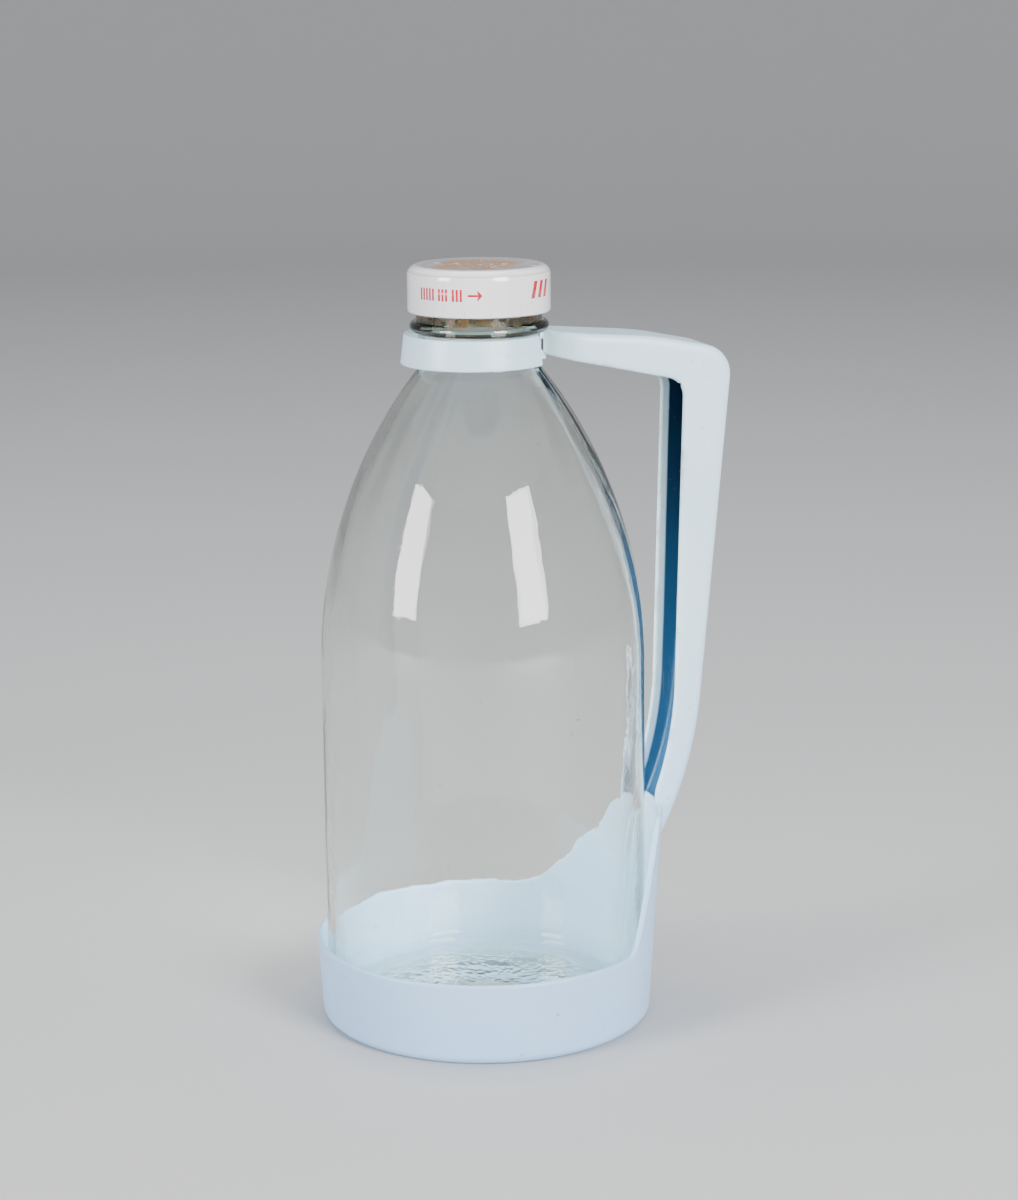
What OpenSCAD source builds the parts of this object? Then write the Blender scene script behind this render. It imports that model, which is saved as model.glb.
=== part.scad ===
// Half-gallon glass milk bottle with a twist-off cap, standing in a one-piece moulded carrier.
// Millimetres. Z is up. The origin is on the bottle's axis, at the underside of the carrier's
// floor, and +X points from the bottle towards the handle.

/* [Bottle] */
// Outside diameter of the bottle's body
bottle_d = 117; // [95:1:142]
// Height of the glass from its foot to its lip
bottle_h = 272; // [225:1:330]
// Thickness of the glass in the body and the shoulder
glass_wall = 2.8; // [2.2:0.1:4]
// Thickness of the glass in the neck and the finish
neck_wall = 3.1; // [2.4:0.1:4.2]
// Radius of the heel where the body turns into the foot
heel_r = 9; // [6:0.5:12]
// Height of the push-up under the foot
push_up_h = 3.5; // [2:0.5:6]
// Thickness of the glass in the base
base_glass = 5; // [4:0.5:8]
// Outside diameter of the neck
neck_d = 43.2; // [36:0.2:52]
// Height of the curved shoulder
shoulder_h = 107; // [80:1:130]
// Radius of the hollow between the shoulder and the neck
neck_hollow_r = 4; // [2:0.5:8]
// Height from the middle of the carrying bead to the lip
finish_h = 19.8; // [19:0.2:26]
// Height of the straight neck under the middle of the carrying bead
neck_h = 14.6; // [13.6:0.2:20]
// How far the carrying bead stands out from the neck
bead_out = 3.1; // [2.2:0.1:4]
// Radius of the carrying bead's rounding
bead_r = 2.1; // [1.5:0.1:2.8]

/* [Twist-off finish] */
// Outside diameter of the finish behind the ramps
finish_d = 44.6; // [38:0.2:54]
// How far each glass ramp stands out from the finish
ramp_out = 1.4; // [1:0.1:1.8]
// Thickness of each glass ramp
ramp_t = 1.2; // [0.9:0.1:1.4]
// Angle that each glass ramp covers
ramp_span = 62; // [45:1:70]
// Number of ramps on the glass, and of lugs in the cap
starts = 4; // [3:1:4]
// Rise of the cap in one full turn
lead = 14; // [12:0.5:16]

/* [Cap] */
// Thickness of the cap's tinplate
tin_t = 0.4; // [0.25:0.05:0.6]
// Height of the cap
cap_h = 16.6; // [15.5:0.1:18]
// Gap between the glass ramps and the inside of the skirt
skirt_gap = 1.25; // [0.8:0.05:2]
// Radius of the cap's top corner
cap_corner_r = 3.6; // [2:0.1:5]
// Gap between the bottle's ramps and the cap's rolled edge
curl_gap = 0.2; // [0.1:0.05:0.4]
// Angle that each lug covers
lug_span = 16; // [10:1:22]
// Thickness of each lug
lug_t = 1; // [0.8:0.1:1.2]
// Gap between a lug and the glass behind it
lug_gap = 0.4; // [0.3:0.05:0.6]
// Thickness of the liner's board
board_t = 1; // [0.6:0.1:1.4]
// Thickness of the liner's facing
facing_t = 0.2; // [0.1:0.05:0.3]

/* [Carrier cup] */
// Thickness of the moulding in the cup, the tongue and the floor
cup_wall_t = 2; // [1.6:0.1:3]
// Height of the cup's rim over the table
cup_h = 30.2; // [25:0.2:40]
// Gap between the bottle and the cup at the top of the heel
cup_gap = 0.4; // [0.3:0.05:1]
// Slope of the cup's wall away from upright, in degrees
cup_draft = 3.6; // [2:0.2:5]
// Radius of the cup's bottom corner
cup_corner_r = 3.6; // [3:0.2:5]
// Diameter of the hole in the floor
drain_d = 38; // [25:1:60]
// Height of the tongue over the rim
tongue_h = 46; // [35:1:55]
// Angle from the handle to each end of the tongue
tongue_half_angle = 62; // [50:1:75]

/* [Carrier handle] */
// Width of the handle and the arm
handle_w = 25; // [20:1:32]
// Thickness of the handle's channel
channel_t = 2.3; // [1.8:0.1:3]
// Room for fingers between the bottle and the top of the grip
hand_gap = 14.5; // [13:0.5:30]
// Depth of the channel at the top of the grip
grip_depth = 19; // [14:0.5:24]
// Fall of the arm's top line from the neck to the corner
arm_fall = 11.4; // [6:0.2:16]
// Radius of the grip's outer corner
corner_r = 11; // [8:0.5:14]
// Radius of the grip's inner corner
inner_corner_r = 7; // [4:0.5:9]
// Radius of the bend from the arm's near side to the neck collar
arm_bend_r = 11.5; // [10:0.5:12]

/* [Neck collar] */
// Height of the neck collar
collar_h = 10.6; // [8:0.2:11.4]
// Offset of the collar's middle away from the handle
collar_shift = 1.8; // [1:0.1:2.4]
// Gap between the neck and the collar where they come closest
collar_gap = 0.4; // [0.3:0.05:0.8]
// Thickness of the collar at its top
collar_top_t = 1.3; // [1:0.1:2]
// Thickness of the collar at its bottom
collar_bottom_t = 2.5; // [2:0.1:3.2]
// Angle from the handle to the collar's free end
collar_open_angle = 43; // [35:1:60]

/* [Hidden] */
$fn = 96;

plastic = "lightsteelblue";
clear_glass = [0.75, 0.85, 0.85, 0.5];
far = 400;             // larger than anything here, for cutting shapes
cut_over = 20;         // how far a cutting shape runs past what it cuts
seat_gap = 0.1;        // between pieces that stand on each other across a joint

// Bottle, from the floor of the carrier up
bottle_rad = bottle_d / 2;
neck_rad = neck_d / 2;
finish_rad = finish_d / 2;
foot_z = cup_wall_t + seat_gap;
lip_z = foot_z + bottle_h;
bead_z = lip_z - finish_h;
neck_z = bead_z - neck_h;
shoulder_z = neck_z - shoulder_h;
heel_z = foot_z + heel_r;
shoulder_in = bottle_rad - neck_rad;
shoulder_arc_r = (shoulder_h ^ 2 + shoulder_in ^ 2) / (2 * shoulder_in);
shoulder_arc_x = bottle_rad - shoulder_arc_r;
bore_rad = neck_rad - neck_wall;
push_up_rad = bottle_rad - heel_r - 5;
push_up_arc_r = (push_up_rad ^ 2 + push_up_h ^ 2) / (2 * push_up_h);
lip_round = neck_wall * 0.45;

// Twist-off finish and cap, from the lip down
ramp_rad = finish_rad + ramp_out;
liner_t = board_t + facing_t;
cap_top_z = lip_z + seat_gap + liner_t + seat_gap + tin_t;
cap_foot_z = cap_top_z - cap_h;
cap_in_rad = ramp_rad + skirt_gap;
cap_rad = cap_in_rad + tin_t;
curl_r = (skirt_gap + tin_t - curl_gap) / 2;
lug_z = cap_foot_z + curl_r;
lug_in_rad = finish_rad + lug_gap;
lug_clearance = 0.3;
ramp_z = lug_z + lug_t / 2 + lug_clearance + ramp_t / 2;
ramp_lead_in = 12;     // angle of each ramp behind its lug
liner_rad = cap_in_rad - cap_corner_r * 0.35;
helix_angle = atan(lead / (2 * PI * ramp_rad));

// Cup and tongue, one slanted wall round the bottle
function cup_in(z) = bottle_rad + cup_gap + (z - heel_z) * tan(cup_draft);
function cup_out(z) = cup_in(z) + cup_wall_t;
cup_corner_x = cup_out(cup_corner_r) - cup_corner_r;
rim_round_z = cup_h - cup_wall_t / 2;
rim_round_x = (cup_in(rim_round_z) + cup_out(rim_round_z)) / 2;
tongue_top_z = cup_h + tongue_h;
tongue_steps = 12;
function tongue_edge(a) = cup_h + tongue_h * (1 + cos(180 * a / tongue_half_angle)) / 2;

// Collar, close under the carrying bead
collar_top_z = bead_z - bead_r - 0.4;
collar_z = collar_top_z - collar_h;
collar_in_rad = neck_rad + collar_shift + collar_gap;
collar_slant = collar_bottom_t - collar_top_t;
function collar_out(z) = collar_in_rad + collar_top_t + collar_slant * (collar_top_z - z) / collar_h;
collar_mid_rad = collar_out(collar_z + collar_h / 2);
collar_hinge_gap = 0.05;

// Handle: outer line and lip line, each a run of corners rounded by arcs
half_w = handle_w / 2;
arm_z = collar_top_z + 2;
grip_x = bottle_rad + hand_gap + grip_depth;
lip_x = bottle_rad + hand_gap;
arm_depth = 9;
outer_line = [
    [0, arm_z], [grip_x - 30, arm_z - 5.2], [grip_x, arm_z - arm_fall],
    [bottle_rad + 19, cup_h + 56], [bottle_rad - 1, cup_h + 20]
];
outer_radii = [120, corner_r, 140];
lip_line = [
    [0, arm_z - arm_depth + 3.5], [lip_x, arm_z - arm_fall - 10.3],
    [bottle_rad + 10.9, cup_h + 64.4], [bottle_rad - 6, cup_h + 27]
];
lip_radii = [inner_corner_r, 130];
foot_top_z = cup_h + 62;
bend_x = collar_mid_rad - collar_shift + arm_bend_r;
bend_y = arm_bend_r - half_w;
arc_steps = 10;

// Direction, side and corner helpers for the two lines
function unit(v) = v / norm(v);
function to_right(v) = [v[1], -v[0]];
function mitre(a, b, c, w) =
    let (n1 = to_right(unit(b - a)), n2 = to_right(unit(c - b)))
    b + w * (n1 + n2) / (1 + n1 * n2);
function inset(p, w) = [
    for (i = [0 : len(p) - 1])
        i == 0 ? p[0] + w * to_right(unit(p[1] - p[0]))
        : i == len(p) - 1 ? p[i] + w * to_right(unit(p[i] - p[i - 1]))
        : mitre(p[i - 1], p[i], p[i + 1], w)
];
function fillet(a, b, c, r) =
    let (
        u = unit(a - b), v = unit(c - b), half = acos(u * v) / 2,
        o = b + unit(u + v) * r / sin(half),
        s = b + u * r / tan(half) - o, e = b + v * r / tan(half) - o,
        turn = atan2(s[0] * e[1] - s[1] * e[0], s * e), start = atan2(s[1], s[0])
    )
    [for (i = [0 : arc_steps]) o + r * [cos(start + turn * i / arc_steps), sin(start + turn * i / arc_steps)]];
function rounded(p, radii) = [
    p[0],
    for (i = [1 : len(p) - 2]) each fillet(p[i - 1], p[i], p[i + 1], radii[i - 1]),
    p[len(p) - 1]
];
function reversed(p) = [for (i = [len(p) - 1 : -1 : 0]) p[i]];

// ---------------------------------------------------------------- carrier

// The full round of the rim, in section
module rim_round() translate([rim_round_x, rim_round_z]) circle(cup_wall_t / 2);

module cup_wall() {
    color(plastic) rotate_extrude() {
        difference() {
            translate([cup_corner_x, cup_corner_r]) circle(cup_corner_r);
            translate([cup_corner_x, cup_corner_r]) circle(cup_corner_r - cup_wall_t);
            translate([-far, cup_corner_r]) square([2 * far, far]);
            translate([cup_corner_x - far, -far]) square([far, 2 * far]);
        }
        polygon([
            [cup_in(cup_corner_r), cup_corner_r], [cup_out(cup_corner_r), cup_corner_r],
            [cup_out(rim_round_z), rim_round_z], [cup_in(rim_round_z), rim_round_z]
        ]);
        rim_round();
    }
}

module cup_floor() {
    color(plastic) difference() {
        cylinder(r = cup_corner_x, h = cup_wall_t);
        translate([0, 0, -1]) cylinder(d = drain_d, h = cup_wall_t + 2);
    }
}

// Everything under the tongue's edge, seen along X
module under_tongue_edge() {
    reach = cup_out(tongue_top_z);
    rotate([90, 0, 90]) linear_extrude(far) polygon([
        [-reach, 0],
        [-reach, cup_h],
        for (i = [-tongue_steps : tongue_steps])
            let (a = tongue_half_angle * i / tongue_steps)
            [reach * sin(a), tongue_edge(abs(a))],
        [reach, cup_h],
        [reach, 0]
    ]);
}

// The tongue sits over the rim's rounding and carries the cup's slanted wall on upwards
module back_tongue() {
    seat_z = rim_round_z + cup_wall_t * 0.15;
    color(plastic) intersection() {
        rotate([0, 0, -tongue_half_angle]) rotate_extrude(angle = 2 * tongue_half_angle) difference() {
            polygon([
                [cup_in(seat_z), seat_z], [cup_out(seat_z), seat_z],
                [cup_out(tongue_top_z), tongue_top_z], [cup_in(tongue_top_z), tongue_top_z]
            ]);
            rim_round();
        }
        under_tongue_edge();
    }
}

// The handle's side view between the two lines, and its outer skin alone
module side_outline() polygon(concat(rounded(outer_line, outer_radii), reversed(rounded(lip_line, lip_radii))));
module web_outline() {
    inner = inset(outer_line, channel_t);
    polygon(concat(
        rounded(outer_line, outer_radii),
        reversed(rounded(inner, [for (r = outer_radii) r - channel_t]))
    ));
}

// Zones of the side view: the arm lies over the mitre line, the foot below foot_top_z
function mitre_z(x) =
    let (a = lip_line[1], b = outer_line[2])
    a[1] + (x - a[0]) * (b[1] - a[1]) / (b[0] - a[0]);
module arm_zone() polygon([[-far, mitre_z(-far)], [far, mitre_z(far)], [far, 2 * far], [-far, 2 * far]]);
module foot_zone() translate([-far, 0]) square([2 * far, foot_top_z]);

module upright(y0, y1) translate([0, y1, 0]) rotate([90, 0, 0]) linear_extrude(y1 - y0) children();
module near_side() upright(-half_w, channel_t - half_w) children();
module far_side() upright(half_w - channel_t, half_w) children();
module between_sides() upright(channel_t - half_w, half_w - channel_t) children();

// The foot of the handle ends on the tongue's outer face
module outside_tongue() {
    difference() {
        children();
        cylinder(r1 = cup_out(0), r2 = cup_out(tongue_top_z), h = tongue_top_z);
    }
}

module foot_web() {
    color(plastic) outside_tongue() between_sides() intersection() { web_outline(); foot_zone(); }
}
module foot_side_near() {
    color(plastic) outside_tongue() near_side() intersection() { side_outline(); foot_zone(); }
}
module foot_side_far() {
    color(plastic) outside_tongue() far_side() intersection() { side_outline(); foot_zone(); }
}

module grip_zone() {
    difference() {
        children();
        arm_zone();
        foot_zone();
    }
}
module grip_web() color(plastic) between_sides() grip_zone() web_outline();
module grip_side_near() color(plastic) near_side() grip_zone() side_outline();
module grip_side_far() color(plastic) far_side() grip_zone() side_outline();

// What lies outside the collar's slanted wall and clear of the bead, where the arm ends
module outside_collar() {
    cut_h = collar_h + 2 * cut_over;
    difference() {
        children();
        translate([-collar_shift, 0, collar_z - cut_over]) cylinder(
            r1 = collar_out(collar_z - cut_over), r2 = collar_out(collar_top_z + cut_over), h = cut_h
        );
        translate([0, 0, collar_z - cut_over]) cylinder(r = neck_rad + bead_out + collar_gap, h = cut_h);
    }
}

// Plan of the arm, seen from above: straight, with its near corner bent round to the collar
module arm_plan(w) {
    translate([bend_x, w - half_w]) square([far, handle_w - 2 * w]);
    intersection() {
        translate([bend_x, bend_y]) circle(arm_bend_r - w);
        translate([bend_x - far, bend_y - far]) square([far, far]);
    }
    translate([0, bend_y]) square([bend_x, half_w - w - bend_y]);
}

module arm_web() {
    color(plastic) outside_collar() intersection() {
        linear_extrude(2 * far) arm_plan(channel_t);
        between_sides() intersection() { web_outline(); arm_zone(); }
    }
}
module arm_side_near() {
    color(plastic) near_side() intersection() {
        side_outline();
        arm_zone();
        translate([bend_x, 0]) square([far, 2 * far]);
    }
}
module arm_side_far() {
    color(plastic) outside_collar() far_side() intersection() {
        side_outline();
        arm_zone();
    }
}
module arm_bend() {
    color(plastic) outside_collar() intersection() {
        translate([bend_x, bend_y, 0]) rotate([0, 0, 180]) rotate_extrude(angle = 90)
            translate([arm_bend_r - channel_t, 0]) square([channel_t, 2 * far]);
        upright(-half_w, half_w) intersection() { side_outline(); arm_zone(); }
    }
}

// A stretch of the collar between two angles from the handle
module collar_arc(start, sweep) {
    translate([-collar_shift, 0, 0]) rotate([0, 0, start]) rotate_extrude(angle = sweep) polygon([
        [collar_in_rad, collar_z], [collar_out(collar_z), collar_z],
        [collar_out(collar_top_z), collar_top_z], [collar_in_rad, collar_top_z]
    ]);
}
root_angle = asin(bend_y / collar_mid_rad);
module collar_fixed() color(plastic) collar_arc(root_angle, 180 - root_angle);
module collar_clip() {
    gap_angle = collar_hinge_gap / collar_mid_rad * 180 / PI;
    color(plastic) collar_arc(180 + gap_angle, 180 - gap_angle - collar_open_angle);
}

// ---------------------------------------------------------------- bottle

// Half of the bottle's outline, filled to the axis
module bottle_outline() {
    fillet_x = neck_rad + neck_hollow_r;
    fillet_dx = fillet_x - shoulder_arc_x;
    fillet_z = shoulder_z + sqrt((shoulder_arc_r + neck_hollow_r) ^ 2 - fillet_dx ^ 2);
    touch = [shoulder_arc_x, shoulder_z]
        + shoulder_arc_r / (shoulder_arc_r + neck_hollow_r) * [fillet_dx, fillet_z - shoulder_z];
    translate([0, foot_z]) square([bottle_rad - heel_r, heel_r]);
    intersection() {
        translate([bottle_rad - heel_r, heel_z]) circle(heel_r);
        translate([bottle_rad - heel_r, foot_z]) square(heel_r);
    }
    translate([0, heel_z]) square([bottle_rad, shoulder_z - heel_z]);
    intersection() {
        translate([shoulder_arc_x, shoulder_z]) circle(shoulder_arc_r, $fn = 360);
        translate([0, shoulder_z]) square([bottle_rad, shoulder_h]);
    }
    difference() {
        polygon([[neck_rad - 1, touch[1]], touch, [neck_rad, fillet_z], [neck_rad - 1, fillet_z]]);
        translate([fillet_x, fillet_z]) circle(neck_hollow_r);
    }
    translate([0, neck_z]) square([neck_rad, bead_z - neck_z]);
    translate([neck_rad + bead_out - bead_r, bead_z]) circle(bead_r);
    translate([0, bead_z - bead_r]) square([neck_rad + bead_out - bead_r, 2 * bead_r]);
    translate([0, bead_z]) square([finish_rad, lip_z - lip_round - bead_z]);
    translate([0, lip_z - 2 * lip_round]) square([finish_rad - lip_round, 2 * lip_round]);
    translate([finish_rad - lip_round, lip_z - lip_round]) circle(lip_round);
}

// Half of the space inside the bottle
module bottle_hollow() {
    inner = bottle_rad - glass_wall;
    inner_heel = heel_r - glass_wall;
    floor_z = foot_z + base_glass;
    difference() {
        union() {
            translate([0, floor_z]) square([inner - inner_heel, inner_heel]);
            translate([inner - inner_heel, floor_z + inner_heel]) circle(inner_heel);
            translate([0, floor_z + inner_heel]) square([inner, shoulder_z - floor_z - inner_heel]);
            intersection() {
                translate([shoulder_arc_x, shoulder_z]) circle(shoulder_arc_r - glass_wall, $fn = 360);
                translate([0, shoulder_z]) square([inner, shoulder_h]);
            }
            translate([0, neck_z - neck_wall * 2]) square([bore_rad, far]);
        }
        translate([0, floor_z + push_up_h - push_up_arc_r]) circle(push_up_arc_r, $fn = 360);
    }
}

// The glass between two heights
module glass_band(z0, z1) {
    rotate_extrude() intersection() {
        difference() {
            bottle_outline();
            bottle_hollow();
        }
        translate([0, z0]) square([far, z1 - z0]);
    }
}

module bottle_base() {
    color(clear_glass) difference() {
        glass_band(foot_z, heel_z);
        translate([0, 0, foot_z + push_up_h - push_up_arc_r]) sphere(push_up_arc_r);
    }
}
module bottle_body() color(clear_glass) glass_band(heel_z, shoulder_z);
module bottle_shoulder() color(clear_glass) glass_band(shoulder_z, collar_z - seat_gap);

// A short stretch of helix, as a ring segment tilted to the helix angle
module helix_segment(r_in, r_out, t, start, sweep, z) {
    mid = start + sweep / 2;
    translate([0, 0, z + lead * sweep / 720]) rotate([0, 0, mid]) rotate([helix_angle, 0, 0])
        rotate([0, 0, -sweep / 2]) rotate_extrude(angle = sweep)
            translate([r_in, -t / 2]) square([r_out - r_in, t]);
}

module bottle_finish() {
    color(clear_glass) union() {
        glass_band(collar_z - seat_gap, lip_z + 1);
        for (i = [0 : starts - 1])
            helix_segment(
                finish_rad - neck_wall / 2, ramp_rad, ramp_t,
                i * 360 / starts - ramp_lead_in, ramp_span, ramp_z - lead * ramp_lead_in / 360
            );
    }
}

// ---------------------------------------------------------------- cap

module liner_facing() {
    color("ivory") translate([0, 0, lip_z + seat_gap]) cylinder(r = liner_rad, h = facing_t);
}
module liner_board() {
    corner_x = cap_rad - cap_corner_r;
    color("tan") rotate_extrude() intersection() {
        translate([0, lip_z + seat_gap + facing_t]) square([liner_rad, board_t]);
        union() {
            square([corner_x, far]);
            translate([corner_x, cap_top_z - cap_corner_r]) circle(cap_corner_r - tin_t - 2 * seat_gap);
        }
    }
}

module cap_shell() {
    corner_z = cap_top_z - cap_corner_r;
    color("white") union() {
        rotate_extrude() {
            translate([0, cap_top_z - tin_t]) square([cap_rad - cap_corner_r, tin_t]);
            difference() {
                translate([cap_rad - cap_corner_r, corner_z]) circle(cap_corner_r);
                translate([cap_rad - cap_corner_r, corner_z]) circle(cap_corner_r - tin_t);
                translate([0, corner_z - far]) square([far, far]);
                translate([cap_rad - cap_corner_r - far, 0]) square([far, far]);
            }
            translate([cap_in_rad, cap_foot_z + curl_r]) square([tin_t, corner_z - cap_foot_z - curl_r]);
            translate([cap_rad - curl_r, cap_foot_z + curl_r]) circle(curl_r);
        }
        for (i = [0 : starts - 1])
            helix_segment(
                lug_in_rad, cap_in_rad, lug_t,
                i * 360 / starts - lug_span / 2, lug_span, lug_z - lead * lug_span / 720
            );
    }
}

// ---------------------------------------------------------------- everything

cup_wall();
cup_floor();
back_tongue();
foot_web();
foot_side_near();
foot_side_far();
grip_web();
grip_side_near();
grip_side_far();
arm_web();
arm_side_near();
arm_side_far();
arm_bend();
collar_fixed();
collar_clip();
bottle_base();
bottle_body();
bottle_shoulder();
bottle_finish();
liner_facing();
liner_board();
cap_shell();
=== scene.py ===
# %% [markdown]
# # A glass milk bottle in a carrying handle
#
# The real object is five pieces: a half-gallon bottle of clear glass, a twist-off cap of
# lacquered tinplate, the board liner inside that cap with a waxed facing on it, and one light
# blue plastic moulding that carries the bottle by its neck and its foot. The engineering model
# already says where each piece is and how it moves. This script only gives the pieces their
# finished surfaces.

# %% Load the frame
import math
import random

import bmesh
import bpy
import numpy as np
from mathutils import Matrix, Vector, noise


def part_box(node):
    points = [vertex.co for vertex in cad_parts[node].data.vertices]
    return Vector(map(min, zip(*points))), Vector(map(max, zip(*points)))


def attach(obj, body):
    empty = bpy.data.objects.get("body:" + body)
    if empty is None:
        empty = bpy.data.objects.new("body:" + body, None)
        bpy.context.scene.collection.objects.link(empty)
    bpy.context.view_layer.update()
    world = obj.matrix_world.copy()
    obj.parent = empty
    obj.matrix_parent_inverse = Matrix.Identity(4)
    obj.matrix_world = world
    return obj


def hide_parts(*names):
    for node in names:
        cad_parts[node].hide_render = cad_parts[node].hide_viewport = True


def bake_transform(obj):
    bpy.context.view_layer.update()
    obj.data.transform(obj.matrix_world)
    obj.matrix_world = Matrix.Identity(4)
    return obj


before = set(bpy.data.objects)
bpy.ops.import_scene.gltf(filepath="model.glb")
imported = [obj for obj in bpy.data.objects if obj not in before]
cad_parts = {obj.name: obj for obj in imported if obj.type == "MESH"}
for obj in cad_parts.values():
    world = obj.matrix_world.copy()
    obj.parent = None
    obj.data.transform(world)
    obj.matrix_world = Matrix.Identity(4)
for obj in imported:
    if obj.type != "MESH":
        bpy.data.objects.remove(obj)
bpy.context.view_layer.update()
MM = 0.001

# %% [markdown]
# ## The camera first
#
# A product picture is set by its camera, so the camera comes before any surface. It stands a
# metre away on a longish lens, looks down a little, and leans by half a degree, as a hand-set
# tripod does. Its place is written in terms of the bottle: a distance from the axis, a height
# over the table, and the side from which the handle shows at the right.

# %% Camera
CAMERA_AZIMUTH = -18.0
CAMERA_DISTANCE = 1.0433
CAMERA_HEIGHT = 0.3890
CAMERA_SIDESTEP = 0.0096
CAMERA_PITCH = 12.66
CAMERA_ROLL = -0.53
LENS_MM = 89.0


def make_camera():
    azimuth, pitch, roll = (math.radians(a) for a in (CAMERA_AZIMUTH, CAMERA_PITCH, CAMERA_ROLL))
    right = Vector((math.cos(azimuth), math.sin(azimuth), 0))
    away = Vector((-math.sin(azimuth), math.cos(azimuth), 0))
    forward = away * math.cos(pitch) - Vector((0, 0, math.sin(pitch)))
    up = right.cross(forward)
    tilted_right = right * math.cos(roll) + up * math.sin(roll)
    tilted_up = up * math.cos(roll) - right * math.sin(roll)
    data = bpy.data.cameras.new("camera")
    data.lens = LENS_MM
    data.sensor_width = 36
    data.clip_start, data.clip_end = 0.01, 100
    camera = bpy.data.objects.new("camera", data)
    axes = Matrix((tilted_right, tilted_up, -forward)).transposed().to_4x4()
    place = right * CAMERA_SIDESTEP - away * CAMERA_DISTANCE + Vector((0, 0, CAMERA_HEIGHT))
    camera.matrix_world = Matrix.Translation(place) @ axes
    bpy.context.collection.objects.link(camera)
    bpy.context.scene.camera = camera
    return camera


camera = make_camera()
print("camera at", [round(v, 3) for v in camera.matrix_world.translation])

# %% [markdown]
# ## Sizes
#
# The frame gives each piece's box, and the radii and heights below are read from it. What a box
# can't tell, such as a wall's thickness or the slope of a side, is a named value here.

# %% Sizes read from the frame
_, cup_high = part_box("cup_wall")
CUP_H = cup_high.z
CUP_RIM_R = cup_high.y
CUP_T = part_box("cup_floor")[1].z
CUP_SLOPE = math.tan(math.radians(3.6))
CUP_CORNER = 3.6 * MM
DRAIN_R = 19 * MM
TONGUE_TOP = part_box("back_tongue")[1].z
TONGUE_SPAN = math.radians(62)

base_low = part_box("bottle_base")[0]
body_low, body_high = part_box("bottle_body")
_, finish_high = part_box("bottle_finish")
FOOT_Z = base_low.z
HEEL_Z = body_low.z
SHOULDER_Z = body_high.z
BODY_R = body_high.x
BEAD_OUT_R = finish_high.x
LIP_Z = finish_high.z
GLASS_T = 2.8 * MM
NECK_T = 3.1 * MM
NECK_R = 21.6 * MM
FINISH_R = 22.3 * MM

cap_low, cap_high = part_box("cap_shell")
CAP_R, CAP_FOOT, CAP_TOP = cap_high.x, cap_low.z, cap_high.z

collar_low, collar_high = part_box("collar_fixed")
COLLAR_Z, COLLAR_TOP = collar_low.z, collar_high.z
print("cup rim", round(CUP_H / MM, 1), "body radius", round(BODY_R / MM, 1), "lip", round(LIP_Z / MM, 1))

# %% [markdown]
# ## Turning and sweeping
#
# Nearly every surface here is either turned about the bottle's axis or swept along a line, and
# both come down to one thing: a grid of rings. A single helper that skins a grid of points,
# closed one way or both, therefore makes the glass, the cup, the handle and the cap alike. The
# other way would be to stack modifiers on primitives, but a grid keeps every edge where the
# moulding has one, and lets the rim rise and fall as it goes round.

# %% Grid helpers
def link_mesh(name, vertices, faces, sharp_angle=40):
    """Makes an object of the points and faces, smooth but for edges sharper than the angle."""
    mesh = bpy.data.meshes.new(name)
    mesh.from_pydata([tuple(v) for v in vertices], [], faces)
    mesh.validate()
    bm = bmesh.new()
    bm.from_mesh(mesh)
    bmesh.ops.remove_doubles(bm, verts=bm.verts, dist=1e-6)
    bmesh.ops.dissolve_degenerate(bm, edges=bm.edges, dist=1e-7)
    bmesh.ops.recalc_face_normals(bm, faces=bm.faces)
    bm.to_mesh(mesh)
    bm.free()
    mesh.shade_smooth()
    mesh.set_sharp_from_angle(angle=math.radians(sharp_angle))
    obj = bpy.data.objects.new(name, mesh)
    bpy.context.collection.objects.link(obj)
    return obj


def skin(rings, closed_rings, loop=True):
    """Faces between rings of equal length. loop closes each ring, closed_rings joins last to first."""
    count = len(rings[0])
    faces = []
    for i in range(len(rings) if closed_rings else len(rings) - 1):
        j = (i + 1) % len(rings)
        for k in range(count if loop else count - 1):
            m = (k + 1) % count
            faces.append((i * count + k, i * count + m, j * count + m, j * count + k))
    return faces


def turned(profile, segments, wobble=None):
    """A ring of points round Z for each point of an outline of (radius, height)."""
    rings = []
    for step, (r, z) in enumerate(profile):
        ring = []
        for k in range(segments):
            a = 2 * math.pi * k / segments
            radius, height = (r, z) if wobble is None else wobble(r, z, a, step)
            ring.append((radius * math.cos(a), radius * math.sin(a), height))
        rings.append(ring)
    return rings


def turned_solid(name, profile, segments, wobble=None, loop_profile=True, sharp_angle=40):
    """A solid of revolution. An outline that starts and ends on the axis needs no closing."""
    rings = turned(profile, segments, wobble)
    vertices = [p for ring in rings for p in ring]
    return link_mesh(name, vertices, skin(rings, closed_rings=loop_profile), sharp_angle)


def arc(centre, radius, start, end, steps):
    """Points on an arc in the (radius, height) plane, angles in degrees from outward."""
    return [
        (
            centre[0] + radius * math.cos(math.radians(start + (end - start) * i / steps)),
            centre[1] + radius * math.sin(math.radians(start + (end - start) * i / steps)),
        )
        for i in range(steps + 1)
    ]


def line(a, b, steps):
    """Points from a towards b, both ends left out."""
    return [tuple(np.array(a) + (np.array(b) - np.array(a)) * i / steps) for i in range(1, steps)]


# %% [markdown]
# ## The glass
#
# Blown glass is one closed skin: the outside from the foot up to the lip, then the inside back
# down to the floor. Both have to be there, because what makes a bottle read as thick glass is
# the light that bends twice. The mould makes the outside true, while the inside is only blown
# air, so its radius wanders by a few tenths of a millimetre. That is what breaks up straight
# reflections. The underside of the foot is hammered in small facets.

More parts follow.
